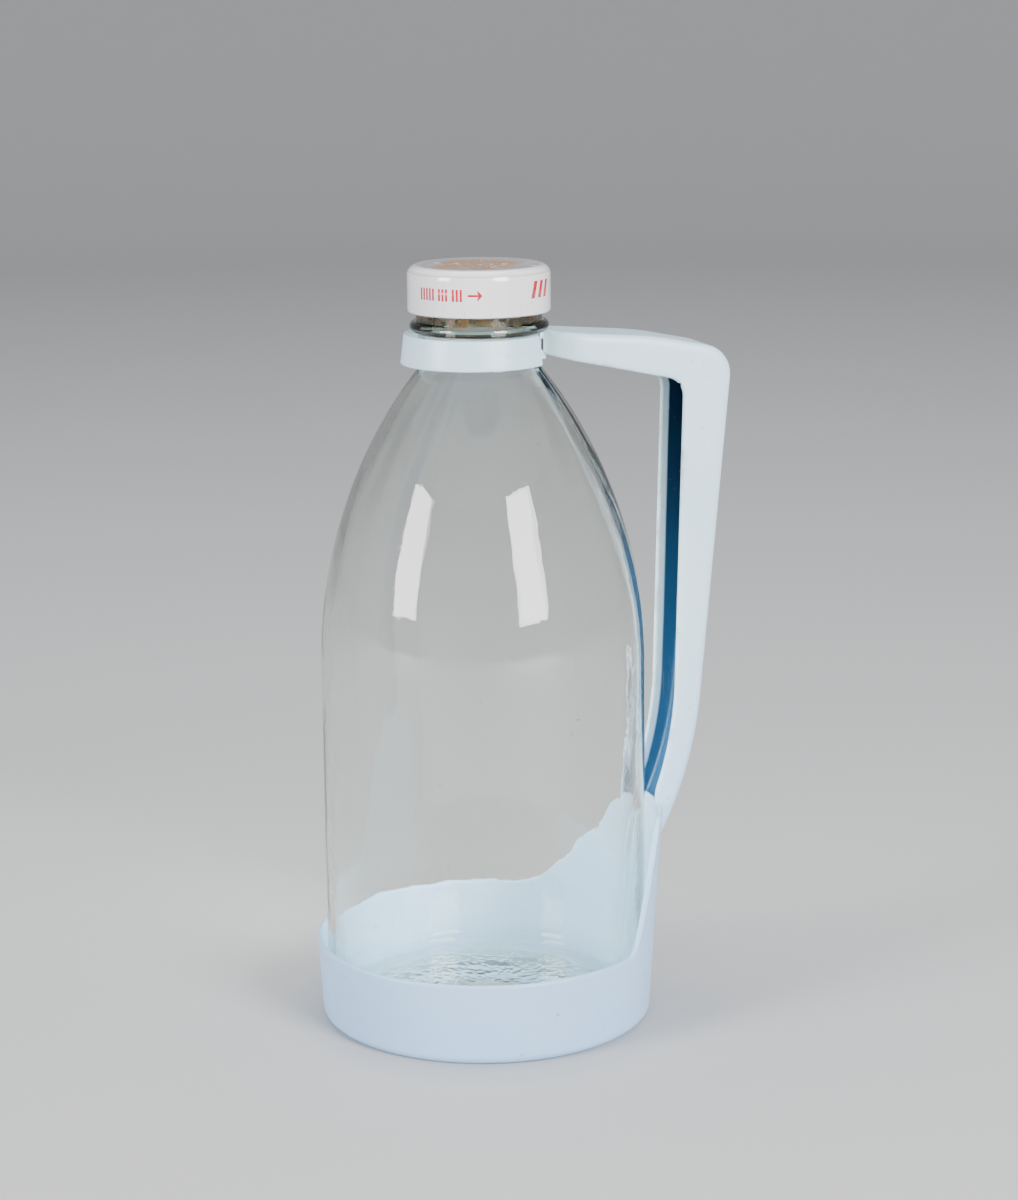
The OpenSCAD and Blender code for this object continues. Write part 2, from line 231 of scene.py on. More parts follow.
# %% Bottle outline
FOOT_POINTS = 46
HEEL_R = HEEL_Z - FOOT_Z
NECK_HOLLOW = 4 * MM
BEAD_R = 2.1 * MM
PUSH_UP = 3.5 * MM
BASE_T = 5 * MM
FINISH_H = 19.8 * MM
NECK_H = 14.6 * MM
BEAD_Z = LIP_Z - FINISH_H
NECK_Z = BEAD_Z - NECK_H
LIP_ROUND = 1.4 * MM
PUSH_UP_R = BODY_R - HEEL_R - 5 * MM
drop = BODY_R - NECK_R
SHOULDER_ARC = ((NECK_Z - SHOULDER_Z) ** 2 + drop**2) / (2 * drop)
SHOULDER_X = BODY_R - SHOULDER_ARC


def dome(r, edge_r, height):
    """Height of a shallow dome over its edge."""
    big = (edge_r**2 + height**2) / (2 * height)
    return math.sqrt(big**2 - r**2) - (big - height)


def shoulder_run(thickness, steps, top_r):
    """The shoulder's arc, thinned by the glass, from the body up to radius top_r."""
    radius = SHOULDER_ARC - thickness
    end = math.degrees(math.acos((top_r - SHOULDER_X) / radius))
    return arc((SHOULDER_X, SHOULDER_Z), radius, 0, end, steps)


def outside_outline():
    """The outside, from the middle of the underside up to the top of the lip."""
    foot_radii = np.linspace(0, PUSH_UP_R, FOOT_POINTS)
    foot = [(r, FOOT_Z + dome(r, PUSH_UP_R, PUSH_UP)) for r in foot_radii]
    heel = arc((BODY_R - HEEL_R, HEEL_Z), HEEL_R, -90, 0, 12)
    body = line((BODY_R, HEEL_Z), (BODY_R, SHOULDER_Z), 40)
    hollow_x = NECK_R + NECK_HOLLOW
    hollow_z = SHOULDER_Z + math.sqrt((SHOULDER_ARC + NECK_HOLLOW) ** 2 - (hollow_x - SHOULDER_X) ** 2)
    touch = SHOULDER_ARC / (SHOULDER_ARC + NECK_HOLLOW)
    touch_r = SHOULDER_X + touch * (hollow_x - SHOULDER_X)
    shoulder = shoulder_run(0, 56, touch_r)
    lean = math.degrees(math.atan2(hollow_z - SHOULDER_Z, hollow_x - SHOULDER_X))
    hollow = arc((hollow_x, hollow_z), NECK_HOLLOW, 180 + lean, 180, 8)[1:]
    bead_x = BEAD_OUT_R - BEAD_R
    waist = math.degrees(math.acos((bead_x - NECK_R) / BEAD_R))
    under = arc((bead_x, BEAD_Z), BEAD_R, -180 + waist, 0, 12)
    brow = math.degrees(math.acos(min(1, (bead_x - FINISH_R) / BEAD_R)))
    over = arc((bead_x, BEAD_Z), BEAD_R, 0, 180 - brow, 12)[1:]
    neck = line(hollow[-1], under[0], 6)
    wall = line(over[-1], (FINISH_R, LIP_Z - LIP_ROUND), 10)
    lip = arc((FINISH_R - LIP_ROUND, LIP_Z - LIP_ROUND), LIP_ROUND, 0, 90, 6)
    return foot + heel + body + shoulder + hollow + neck + under + over + wall + lip


def inside_outline():
    """The inside, from the lip down to the middle of the floor."""
    bore = NECK_R - NECK_T
    inner_r = BODY_R - GLASS_T
    floor_z = FOOT_Z + BASE_T
    inner_heel = HEEL_R - GLASS_T
    lip = arc((bore + LIP_ROUND * 0.8, LIP_Z - LIP_ROUND * 0.8), LIP_ROUND * 0.8, 90, 180, 5)
    shoulder = shoulder_run(GLASS_T, 56, bore)[::-1]
    bore_run = line(lip[-1], shoulder[0], 16)
    body = line((inner_r, SHOULDER_Z), (inner_r, floor_z + inner_heel), 40)
    heel = arc((inner_r - inner_heel, floor_z + inner_heel), inner_heel, 0, -78, 10)
    flat_r = heel[-1][0]
    floor_radii = np.linspace(flat_r - MM, 0, 30)
    floor = [(r, floor_z + dome(r, flat_r, PUSH_UP) + 0.12 * MM) for r in floor_radii]
    return lip + bore_run + shoulder + body + heel + floor


outside = outside_outline()
inside = inside_outline()
print("glass outline points:", len(outside), "outside,", len(inside), "inside")

# %% Glass with a wandering inside
GLASS_SEGMENTS = 224
INSIDE_WANDER = 0.22 * MM
HAMMER_DEPTH = 0.16 * MM


def smooth_step(edge0, edge1, x):
    t = min(1.0, max(0.0, (x - edge0) / (edge1 - edge0)))
    return t * t * (3 - 2 * t)


def glass_wobble(r, z, a, step):
    """The foot's hammered underside, and the uneven inside of the walls."""
    around = Vector((math.cos(a), math.sin(a), 0))
    if step < FOOT_POINTS:
        fade = smooth_step(0.002, 0.01, r) * (1 - smooth_step(PUSH_UP_R - 0.004, PUSH_UP_R, r))
        bumps = noise.noise(around * r * 520) + 0.5 * noise.noise(around * r * 1100)
        return r, z + HAMMER_DEPTH * fade * bumps
    if step < len(outside):
        return r, z
    fade = smooth_step(0.0, 0.012, LIP_Z - z) * smooth_step(0.004, 0.02, r)
    tall = noise.noise(around * 2.6 + Vector((0, 0, z * 9)))
    fine = noise.noise(around * 7.0 + Vector((3, 1, z * 30)))
    shift = INSIDE_WANDER * fade * (tall + 0.45 * fine)
    lift = 0.25 * MM * noise.noise(around * r * 120) if r < BODY_R - 0.012 and z < HEEL_Z + 0.004 else 0
    return max(0.0, r + shift), z + lift


glass = turned_solid(
    "glass_bottle", outside + inside, GLASS_SEGMENTS, glass_wobble, loop_profile=False, sharp_angle=60
)
print("glass faces:", len(glass.data.polygons))

# %% [markdown]
# Two small things belong to the same glass. Around the finish stand four slanting ramps, which
# the cap's lugs climb down, and inside the wall sit seeds: gas bubbles that the furnace left,
# drawn out along the height of the bottle. A seed is a hole in the glass, so its skin faces
# inwards.

# %% Ramps and seeds
RAMP_OUT = 1.4 * MM
RAMP_T = 1.2 * MM
LEAD = 14 * MM
STARTS = 4
RAMP_SPAN = math.radians(62)
RAMP_LEAD_IN = math.radians(12)
LUG_T = 1.0 * MM
LUG_MIDDLE = CAP_FOOT + 0.9 * MM
RAMP_Z = LUG_MIDDLE + LUG_T / 2 + 0.3 * MM + RAMP_T / 2


def helix_bar(name, r_in, r_out, thickness, start, sweep, z, steps=28):
    """A bar that climbs a thread: a rounded section swept along a helix, with tapered ends."""
    rings = []
    rounding = thickness * 0.42
    width = r_out - r_in
    for i in range(steps + 1):
        t = i / steps
        a = start + sweep * t
        height = z + LEAD * sweep * t / (2 * math.pi)
        taper = min(1.0, 0.15 + 0.85 * math.sin(math.pi * min(1, max(0, min(t, 1 - t) * 5)) / 2))
        section = [(r_in, -thickness / 2), (r_in + (width - rounding) * taper, -thickness / 2)]
        section += arc((r_in + (width - rounding) * taper, 0), thickness / 2, -80, 80, 6)
        section += [(r_in + (width - rounding) * taper, thickness / 2), (r_in, thickness / 2)]
        rings.append([(r * math.cos(a), r * math.sin(a), height + dz) for r, dz in section])
    vertices = [p for ring in rings for p in ring]
    count = len(rings[0])
    faces = skin(rings, closed_rings=False)
    faces += [tuple(range(count)), tuple(range(len(vertices) - 1, len(vertices) - count - 1, -1))]
    return link_mesh(name, vertices, faces, 50)


def join(name, objects):
    """Joins objects into the first and gives it a name."""
    with bpy.context.temp_override(active_object=objects[0], selected_editable_objects=objects):
        bpy.ops.object.join()
    objects[0].name = objects[0].data.name = name
    return objects[0]


ramps = join(
    "glass_ramps",
    [
        helix_bar(
            f"ramp_{i}",
            FINISH_R - 0.05 * MM,
            FINISH_R + RAMP_OUT - 0.15 * MM,
            RAMP_T,
            i * math.pi / 2 - RAMP_LEAD_IN,
            RAMP_SPAN,
            RAMP_Z - LEAD * RAMP_LEAD_IN / (2 * math.pi),
        )
        for i in range(STARTS)
    ],
)


def add_seeds(obj, count):
    """Small drawn-out bubbles in the middle of the wall, with their skins facing inwards."""
    rng = random.Random(11)
    bm = bmesh.new()
    bm.from_mesh(obj.data)
    for _ in range(count):
        a = rng.uniform(0, 2 * math.pi)
        z = rng.uniform(HEEL_Z + 0.02, NECK_Z - 0.006)
        climb = max(0.0, z - SHOULDER_Z)
        outer = SHOULDER_X + math.sqrt(SHOULDER_ARC**2 - climb**2)
        r = outer - GLASS_T * rng.uniform(0.35, 0.55)
        size = rng.uniform(0.07, 0.20) * MM
        made = bmesh.ops.create_icosphere(bm, subdivisions=2, radius=size)
        place = Matrix.Translation((r * math.cos(a), r * math.sin(a), z))
        stretch = Matrix.Diagonal((1, 1, rng.uniform(1.1, 2.2), 1))
        bmesh.ops.transform(bm, matrix=place @ stretch, verts=made["verts"])
        bmesh.ops.reverse_faces(bm, faces=list({f for v in made["verts"] for f in v.link_faces}))
    bm.to_mesh(obj.data)
    bm.free()
    obj.data.shade_smooth()


add_seeds(glass, 46)
print("glass faces with seeds:", len(glass.data.polygons))

# %% [markdown]
# ## The carrier's cup and tongue
#
# The cup is one slanted wall with a fully rounded edge, a rounded foot and a floor with a large
# hole. At the back its edge climbs into a tongue, which spreads the handle's pull into the cup.
# It climbs steeply on one side and in a long slope on the other. Going round the axis, the same
# outline repeats and only the height of its edge changes, so a turned grid whose outline depends
# on the angle makes cup and tongue in one piece, with no seam between them.

# %% Cup and tongue
CUP_SEGMENTS = 320
STEEP_TOP, STEEP_FOOT = math.radians(27), math.radians(50)


def cup_outer_r(z):
    """Outer radius of the slanted wall at a height."""
    rim_round = CUP_T / 2
    return CUP_RIM_R - (CUP_H - rim_round - z) * CUP_SLOPE


def edge_height(a):
    """Height of the cup's edge at an angle from the handle, in radians."""
    turned_by = math.remainder(a, 2 * math.pi)
    away = abs(turned_by)
    if turned_by < 0:
        share = 1 - smooth_step(STEEP_TOP, STEEP_FOOT, away)
    else:
        share = (1 + math.cos(math.pi * min(away / TONGUE_SPAN, 1))) / 2
    return CUP_H + (TONGUE_TOP - CUP_H) * share


def cup_outline(edge):
    """The cup's section from the drain hole round under the wall, over its edge and back."""
    t = CUP_T
    corner_x = cup_outer_r(CUP_CORNER) - CUP_CORNER
    soft = 0.5 * MM
    under = [(DRAIN_R + soft, 0.0)] + line((DRAIN_R + soft, 0), (corner_x, 0), 10)
    corner = arc((corner_x, CUP_CORNER), CUP_CORNER, -90, 0, 10)
    top = edge - t / 2
    outer = line((cup_outer_r(CUP_CORNER), CUP_CORNER), (cup_outer_r(top), top), 18)
    rim = arc((cup_outer_r(top) - t / 2, top), t / 2, 0, 180, 10)
    inner = line(rim[-1], (cup_outer_r(CUP_CORNER) - t, CUP_CORNER), 18)
    inner_corner = arc((corner_x, CUP_CORNER), CUP_CORNER - t, 0, -90, 6)
    floor = line((corner_x, t), (DRAIN_R + soft, t), 10) + [(DRAIN_R + soft, t)]
    hole = arc((DRAIN_R + soft, t - soft), soft, 90, 180, 4)[1:]
    hole += arc((DRAIN_R + soft, soft), soft, 180, 270, 4)[:-1]
    return under + corner + outer + rim + inner + inner_corner + floor + hole


def make_cup():
    rings = []
    for k in range(CUP_SEGMENTS):
        a = 2 * math.pi * k / CUP_SEGMENTS
        rings.append([(r * math.cos(a), r * math.sin(a), z) for r, z in cup_outline(edge_height(a))])
    vertices = [p for ring in rings for p in ring]
    return link_mesh("carrier_cup", vertices, skin(rings, closed_rings=True), 50)


cup = make_cup()
print("cup faces:", len(cup.data.polygons))

# %% [markdown]
# ## The handle
#
# Arm, grip and foot are one channel: a back and two sides, open towards the bottle, so that the
# mould can pull straight out and the fingers find an edge. Two lines in the side view hold its
# whole character. The outer line runs over the arm, round the corner and down the grip; the lip
# line does the same inside, and comes closer to it towards the foot. Each is a run of corners
# with a radius. The channel's section is then drawn between the two lines, station by station.

# %% Handle lines
HANDLE_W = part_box("grip_side_far")[1].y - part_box("grip_side_near")[0].y
HALF_W = HANDLE_W / 2
CHANNEL_T = 2.3 * MM
HAND_GAP = 14.5 * MM
GRIP_DEPTH = 19 * MM
ARM_FALL = 11.4 * MM
ARM_Z = COLLAR_TOP + 2 * MM
GRIP_X = BODY_R + HAND_GAP + GRIP_DEPTH
LIP_X = BODY_R + HAND_GAP
ROOT_X = 22 * MM
ARM_REACH = GRIP_X - 30 * MM


def on_line(start, end, x):
    """The point at x on the straight line between two points."""
    share = (x - start[0]) / (end[0] - start[0])
    return (x, start[1] + (end[1] - start[1]) * share)


outer_corners = [
    on_line((0, ARM_Z), (ARM_REACH, ARM_Z - 5.2 * MM), ROOT_X),
    (ARM_REACH, ARM_Z - 5.2 * MM),
    (GRIP_X, ARM_Z - ARM_FALL),
    (BODY_R + 19 * MM, CUP_H + 56 * MM),
    (BODY_R - MM, CUP_H + 20 * MM),
]
outer_rounds = [120 * MM, 11 * MM, 140 * MM]
lip_corners = [
    on_line((0, ARM_Z - 5.5 * MM), (LIP_X, ARM_Z - ARM_FALL - 10.3 * MM), ROOT_X),
    (LIP_X, ARM_Z - ARM_FALL - 10.3 * MM),
    (BODY_R + 10.9 * MM, CUP_H + 64.4 * MM),
    (BODY_R - 6 * MM, CUP_H + 27 * MM),
]
lip_rounds = [7 * MM, 130 * MM]


def fillet(a, b, c, radius, steps=14):
    """The arc that rounds the corner at b."""
    a, b, c = (Vector(p) for p in (a, b, c))
    u, v = (a - b).normalized(), (c - b).normalized()
    half = u.angle(v) / 2
    centre = b + (u + v).normalized() * radius / math.sin(half)
    reach = radius / math.tan(half)
    start, end = b + u * reach - centre, b + v * reach - centre
    turn = math.atan2(start.x * end.y - start.y * end.x, start.dot(end))
    first = math.atan2(start.y, start.x)
    return [
        centre + radius * Vector((math.cos(first + turn * i / steps), math.sin(first + turn * i / steps)))
        for i in range(steps + 1)
    ]


def along(points, count):
    """count points spread evenly along a run of points."""
    points = [Vector(p) for p in points]
    gone = [0.0]
    for p, q in zip(points, points[1:]):
        gone.append(gone[-1] + (q - p).length)
    spots = np.linspace(0, gone[-1], count)
    xs = np.interp(spots, gone, [p.x for p in points])
    zs = np.interp(spots, gone, [p.y for p in points])
    return [Vector((x, z)) for x, z in zip(xs, zs)]


def stations(corners, rounds, bend, counts):
    """Arm, corner and grip of one line, cut at the corner numbered bend."""
    arcs = [fillet(corners[i], corners[i + 1], corners[i + 2], rounds[i]) for i in range(len(rounds))]
    arm = [corners[0]] + [p for a in arcs[:bend] for p in a] + [arcs[bend][0]]
    grip = [arcs[bend][-1]] + [p for a in arcs[bend + 1 :] for p in a] + [corners[-1]]
    return along(arm, counts[0])[:-1] + along(arcs[bend], counts[1])[:-1] + along(grip, counts[2])


STATION_COUNTS = (70, 18, 96)
outer_stations = stations(outer_corners, outer_rounds, 1, STATION_COUNTS)
lip_stations = stations(lip_corners, lip_rounds, 0, STATION_COUNTS)
print("handle stations:", len(outer_stations), len(lip_stations))

# %% [markdown]
# At the neck the arm's near side bends round to meet the collar, and at the foot both sides sink
# into the tongue. Neither needs a cut: near the neck the side's place across the handle is a
# function of how far out it is, and every point that would come too close to the bottle is
# pushed out again, to the collar's wall or to the tongue's. How far out and how far across depend
# on each other, so each point is worked out a few times over until it stands still.

# %% Handle channel
COLLAR_SHIFT = 1.8 * MM
COLLAR_IN_R = NECK_R + COLLAR_SHIFT + 0.4 * MM
COLLAR_TOP_T = 1.3 * MM
COLLAR_BOTTOM_T = 2.5 * MM
COLLAR_MID_R = COLLAR_IN_R + (COLLAR_TOP_T + COLLAR_BOTTOM_T) / 2
BEND_R = 11.5 * MM
BEND_X = COLLAR_MID_R - COLLAR_SHIFT + BEND_R
BEND_Y = BEND_R - HALF_W
LIP_ROUNDING = 1.05 * MM
OUTER_ROUNDING = 2.0 * MM
INNER_ROUNDING = 1.2 * MM
BEAD_CLEAR = BEAD_OUT_R + 0.5 * MM
SETTLE_ROUNDS = 4


def side_y(x, inset):
    """How far across the handle its near side is at x, inset from its outer face."""
    radius = BEND_R - inset
    if x >= BEND_X:
        return inset - HALF_W
    if x <= BEND_X - radius:
        return BEND_Y
    return BEND_Y - math.sqrt(radius**2 - (x - BEND_X) ** 2)


def channel_section(depth):
    """The channel's section as (side, share of thickness, depth), going once round it."""
    t = CHANNEL_T
    points = []

    def quarter(side, centre_in, centre_depth, radius, start, end, steps=4):
        for i in range(steps + 1):
            a = math.radians(start + (end - start) * i / steps)
            points.append((side, centre_in + radius * math.cos(a), centre_depth + radius * math.sin(a)))

    lip, out, inn = LIP_ROUNDING, OUTER_ROUNDING, INNER_ROUNDING
    quarter(-1, out, out, out, 180, 270)
    for i in range(1, 8):
        points.append((0, i / 8, 0))
    quarter(1, out, out, out, 270, 180)
    for i in range(1, 6):
        points.append((1, 0, out + (depth - lip - out) * i / 6))
    quarter(1, lip, depth - lip, lip, 180, 90)
    quarter(1, t - lip, depth - lip, lip, 90, 0)
    for i in range(1, 6):
        points.append((1, t, depth - lip - (depth - lip - t - inn) * i / 6))
    quarter(1, t + inn, t + inn, inn, 180, 270)
    for i in range(1, 8):
        points.append((0, 1 - i / 8, t))
    quarter(-1, t + inn, t + inn, inn, 270, 180)
    for i in range(1, 6):
        points.append((-1, t, t + inn + (depth - lip - t - inn) * i / 6))
    quarter(-1, t - lip, depth - lip, lip, 0, 90)
    quarter(-1, lip, depth - lip, lip, 90, 180)
    for i in range(1, 6):
        points.append((-1, 0, depth - lip - (depth - lip - out) * i / 6))
    return points


def across(x, side, inward, furthest):
    """Place across the handle for a point that lies inward of one side's outer face."""
    if side > 0:
        return HALF_W - inward
    near, inner = side_y(x, 0), side_y(x, CHANNEL_T)
    if inward <= CHANNEL_T:
        return near + (inner - near) * inward / CHANNEL_T
    return min(inner + inward - CHANNEL_T, furthest)


def clear_of_bottle(x, y, z):
    """Pushes a point out to the collar at the neck and into the tongue's wall at the foot."""
    if z > COLLAR_Z - 0.01:
        reach = 30 * MM
        wall = math.sqrt(max((COLLAR_IN_R + 0.7 * MM) ** 2 - y**2, 0)) - COLLAR_SHIFT
        over = smooth_step(COLLAR_TOP - 0.4 * MM, COLLAR_TOP + 0.9 * MM, z)
        wall = wall * (1 - over) + math.sqrt(BEAD_CLEAR**2 - y**2) * over
        if x < reach:
            return wall + (x - ROOT_X) * (reach - wall) / (reach - ROOT_X)
        return x
    least = cup_outer_r(z) - CUP_T + 0.35 * MM
    return x if math.hypot(x, y) >= least else math.sqrt(least**2 - y**2)


def make_handle():
    rings = []
    for outer, lip in zip(outer_stations, lip_stations):
        depth = (lip - outer).length
        inwards = (lip - outer).normalized()
        ring = []
        for side, inward, d in channel_section(depth):
            x, z = outer + inwards * d
            y = 0.0
            for _ in range(SETTLE_ROUNDS):
                if side == 0:
                    rounding = OUTER_ROUNDING if d == 0 else CHANNEL_T + INNER_ROUNDING
                    low = across(x, -1, rounding, HALF_W)
                    high = HALF_W - rounding
                    y = low + (high - low) * inward
                else:
                    y = across(x, side, inward, HALF_W - CHANNEL_T - INNER_ROUNDING)
                x = clear_of_bottle((outer + inwards * d).x, y, z)
            ring.append((x, y, z))
        rings.append(ring)
    vertices = [p for ring in rings for p in ring]
    count = len(rings[0])
    faces = skin(rings, closed_rings=False)
    faces += [tuple(range(count)), tuple(range(len(vertices) - 1, len(vertices) - count - 1, -1))]
    return link_mesh("carrier_handle", vertices, faces, 50)


handle = make_handle()
print("handle faces:", len(handle.data.polygons))

# %% [markdown]
# ## The neck collar
#
# The collar is a split ring that springs open when the bottle is pressed in. It starts at the
# arm's root, goes round the back of the neck and ends in the open near the handle. It is built as a
# piece of its own, since the real ring bends.

# %% Collar
COLLAR_FREE_END = math.radians(-43)
COLLAR_ROOT = math.asin(BEND_Y / COLLAR_MID_R)
COLLAR_STEPS = 150


def collar_section():
    """Section of the collar as (outward, height), with soft corners."""
    soft = 0.45 * MM
    low_t, top_t = COLLAR_BOTTOM_T, COLLAR_TOP_T
    r, z0, z1 = COLLAR_IN_R, COLLAR_Z, COLLAR_TOP
    lean = math.degrees(math.atan2(low_t - top_t, z1 - z0))
    section = arc((r + soft, z0 + soft), soft, 180, 270, 4)
    section += arc((r + low_t - soft, z0 + soft), soft, 270, 360 + lean, 5)
    section += line((r + low_t, z0 + soft), (r + top_t, z1 - soft), 6)
    section += arc((r + top_t - soft, z1 - soft), soft, lean, 90, 5)
    section += arc((r + soft, z1 - soft), soft, 90, 180, 4)
    section += line((r, z1 - soft), (r, z0 + soft), 6)
    return section


def make_collar():
    """The ring, swept round the neck, with its free end rounded off by a few smaller sections."""
    rings = []
    section = collar_section()
    middle_r = sum(r for r, _ in section) / len(section)
    middle_z = sum(z for _, z in section) / len(section)
    sweep = 2 * math.pi + COLLAR_FREE_END - COLLAR_ROOT
    end_soft = 0.5 * MM / COLLAR_MID_R
    for i in range(COLLAR_STEPS + 1):
        t = sweep * i / COLLAR_STEPS
        rings.append((COLLAR_ROOT + t, 1.0))
    for step in range(1, 5):
        bend = math.radians(90 * step / 4)
        past_end = COLLAR_ROOT + sweep + end_soft * math.sin(bend)
        rings.append((past_end, 1 - 0.16 * (1 - math.cos(bend))))
    points = []
    for a, size in rings:
        ring = []
        for r, z in section:
            shrunk_r = middle_r + (r - middle_r) * (1 - (1 - size) * 2)
            shrunk_z = middle_z + (z - middle_z) * (1 - (1 - size) * 0.5)
            ring.append((shrunk_r * math.cos(a) - COLLAR_SHIFT, shrunk_r * math.sin(a), shrunk_z))
        points.append(ring)
    vertices = [p for ring in points for p in ring]
    count = len(section)
    faces = skin(points, closed_rings=False)
    faces += [tuple(range(count)), tuple(range(len(vertices) - 1, len(vertices) - count - 1, -1))]
    return link_mesh("neck_collar", vertices, faces, 50)


collar = make_collar()
print("collar faces:", len(collar.data.polygons))

# %% [markdown]
# ## The cap
#
# The cap is drawn from one sheet of lacquered tinplate: a flat top, a rounded corner, a straight
# skirt and a bottom edge rolled inwards so that it doesn't cut. Four tabs pressed in from the
# roll are the lugs. The sheet has a thickness of its own, so the outline goes up the outside and
# comes back down the inside.

# %% Cap shell
TIN_T = 0.4 * MM
CAP_CORNER = 3.6 * MM
CURL_R = 1.25 * MM
CURL_IN_R = FINISH_R + RAMP_OUT + 0.2 * MM
CAP_SEGMENTS = 192


def cap_outline():
    """Out over the top, down the skirt, round the curl, and back along the inside."""
    corner = (CAP_R - CAP_CORNER, CAP_TOP - CAP_CORNER)
    panel_r = CAP_R - CAP_CORNER
    panel_drop = 0.18 * MM
    top = []
    for r in np.linspace(0, panel_r, 24):
        top.append((r, CAP_TOP - panel_drop * smooth_step(panel_r, panel_r - 1.6 * MM, r)))
    outer = arc(corner, CAP_CORNER, 90, 0, 14)[1:]
    skirt = line(outer[-1], (CAP_R, CAP_FOOT + CURL_R), 10)
    curl = arc((CAP_R - CURL_R, CAP_FOOT + CURL_R), CURL_R, 0, -90, 12)
    hem = CAP_R - CURL_R - CURL_IN_R
    curl += arc((CURL_IN_R + hem, CAP_FOOT + hem), hem, -90, -180, 4)[1:]
    curl += arc((CURL_IN_R + 0.6 * MM, CAP_FOOT + 1.3 * MM), 0.6 * MM, 180, 60, 6)
    inner_wall = [(CAP_R - TIN_T, CAP_FOOT + 2.6 * CURL_R)]
    inner_skirt = line(inner_wall[0], (CAP_R - TIN_T, corner[1]), 8)
    inner_corner = arc(corner, CAP_CORNER - TIN_T, 0, 90, 10)
    inner_top = [(r, CAP_TOP - TIN_T) for r in np.linspace(panel_r, 0, 12)][1:]
    return top + outer + skirt + curl + inner_wall + inner_skirt + inner_corner + inner_top


cap = turned_solid("cap_tin", cap_outline(), CAP_SEGMENTS, loop_profile=False, sharp_angle=50)
LUG_SPAN = math.radians(16)
LUG_IN_R = FINISH_R + 0.4 * MM
lugs = [
    helix_bar(
        f"lug_{i}",
        LUG_IN_R + 0.1 * MM,
        CAP_R - TIN_T,
        LUG_T * 0.8,
        i * math.pi / 2 - LUG_SPAN / 2,
        LUG_SPAN,
        LUG_MIDDLE - LEAD * LUG_SPAN / (4 * math.pi),
        10,
    )
    for i in range(STARTS)
]
cap = join("cap_tin", [cap] + lugs)
print("cap faces:", len(cap.data.polygons))

# %% [markdown]
# ## The print on the cap
#
# The cap is printed in red before it is pressed: an arrow that says which way to turn it, a row
# of short bars beside it, and three slanted strokes further round. Ink has next to no thickness,
# but it does sit on top of the lacquer, so each mark is a thin patch bent to the skirt's radius.
# A mark is drawn flat, in millimetres along and up the skirt, and then wrapped round.

# %% Print marks
PRINT_LIFT = 0.02 * MM
PRINT_Z = CAP_TOP - 8.4 * MM
FACING_ANGLE = math.radians(-108)


def bar(x, y, width, height, slant=0.0):
    """A flat four-cornered stroke with its middle at (x, y)."""
    w, h = width / 2, height / 2
    low, high = x - slant * h, x + slant * h
    return [(low - w, y - h), (low + w, y - h), (high + w, y + h), (high - w, y + h)]


def flat_marks():
    """All the marks, each as four corners in millimetres: bars, an arrow, slanted strokes."""
    marks = []
    x = -22.6
    for group in (5, 3, 3):
        for i in range(group):
            marks.append(bar(x, 0, 0.8, 4.2))
            x += 1.42
        x += 1.15
    marks.append(bar(x + 2.0, 0, 4.2, 0.75))
    marks.append([(x + 3.0, -1.6), (x + 3.5, -1.6), (x + 5.0, 0), (x + 3.7, 0)])
    marks.append([(x + 3.7, 0), (x + 5.0, 0), (x + 3.5, 1.6), (x + 3.0, 1.6)])
    for i in range(3):
        marks.append(bar(22.2 + i * 3.6, 1.0, 1.9, 6.0, slant=0.28))
    return marks


def wrapped_mark(corners, radius, steps=6):
    """A grid over a four-cornered mark, bent round the axis at the given radius."""
    a, b, c, d = (Vector(p) * MM for p in corners)
    rings = []
    for low, high in ((a, b), (d, c)):
        ring = []
        for i in range(steps + 1):
            p = low.lerp(high, i / steps)
            angle = FACING_ANGLE + p.x / radius
            ring.append((radius * math.cos(angle), radius * math.sin(angle), PRINT_Z + p.y))
        rings.append(ring)
    return [p for ring in rings for p in ring], skin(rings, closed_rings=False, loop=False)


def make_print():
    vertices, faces = [], []
    for corners in flat_marks():
        points, quads = wrapped_mark(corners, CAP_R + PRINT_LIFT)
        faces += [tuple(i + len(vertices) for i in quad) for quad in quads]
        vertices += points
    obj = link_mesh("cap_print", vertices, faces)
    bm = bmesh.new()
    bm.from_mesh(obj.data)
    for face in bm.faces:
        outward = Vector((face.calc_center_median().x, face.calc_center_median().y, 0))
        if face.normal.dot(outward) < 0:
            face.normal_flip()
    bmesh.ops.solidify(bm, geom=bm.faces, thickness=PRINT_LIFT * 0.8)
    bm.to_mesh(obj.data)
    bm.free()
    return obj


cap_print = make_print()
print("print marks:", len(flat_marks()))

# %% [markdown]
# ## One moulding
#
# The real carrier left its mould in one piece, so the cup and the handle are welded into a single
# skin here too. A boolean union does that and removes what lies inside the wall. Two values are
# written on the points after the weld, for the material to read: how deep inside the channel a
# point lies, which sets where shade is painted into the channel, and how close it is to the lip,
# where dirt gathers.

# %% Weld the carrier
def write_value(obj, name, values):
    """Stores one number per point, for a material to read by name."""
    attribute = obj.data.attributes.new(name, "FLOAT", "POINT")
    attribute.data.foreach_set("value", values)


DEEP_AT = 10 * MM
ARM_UNDER_Z = COLLAR_Z - 20 * MM


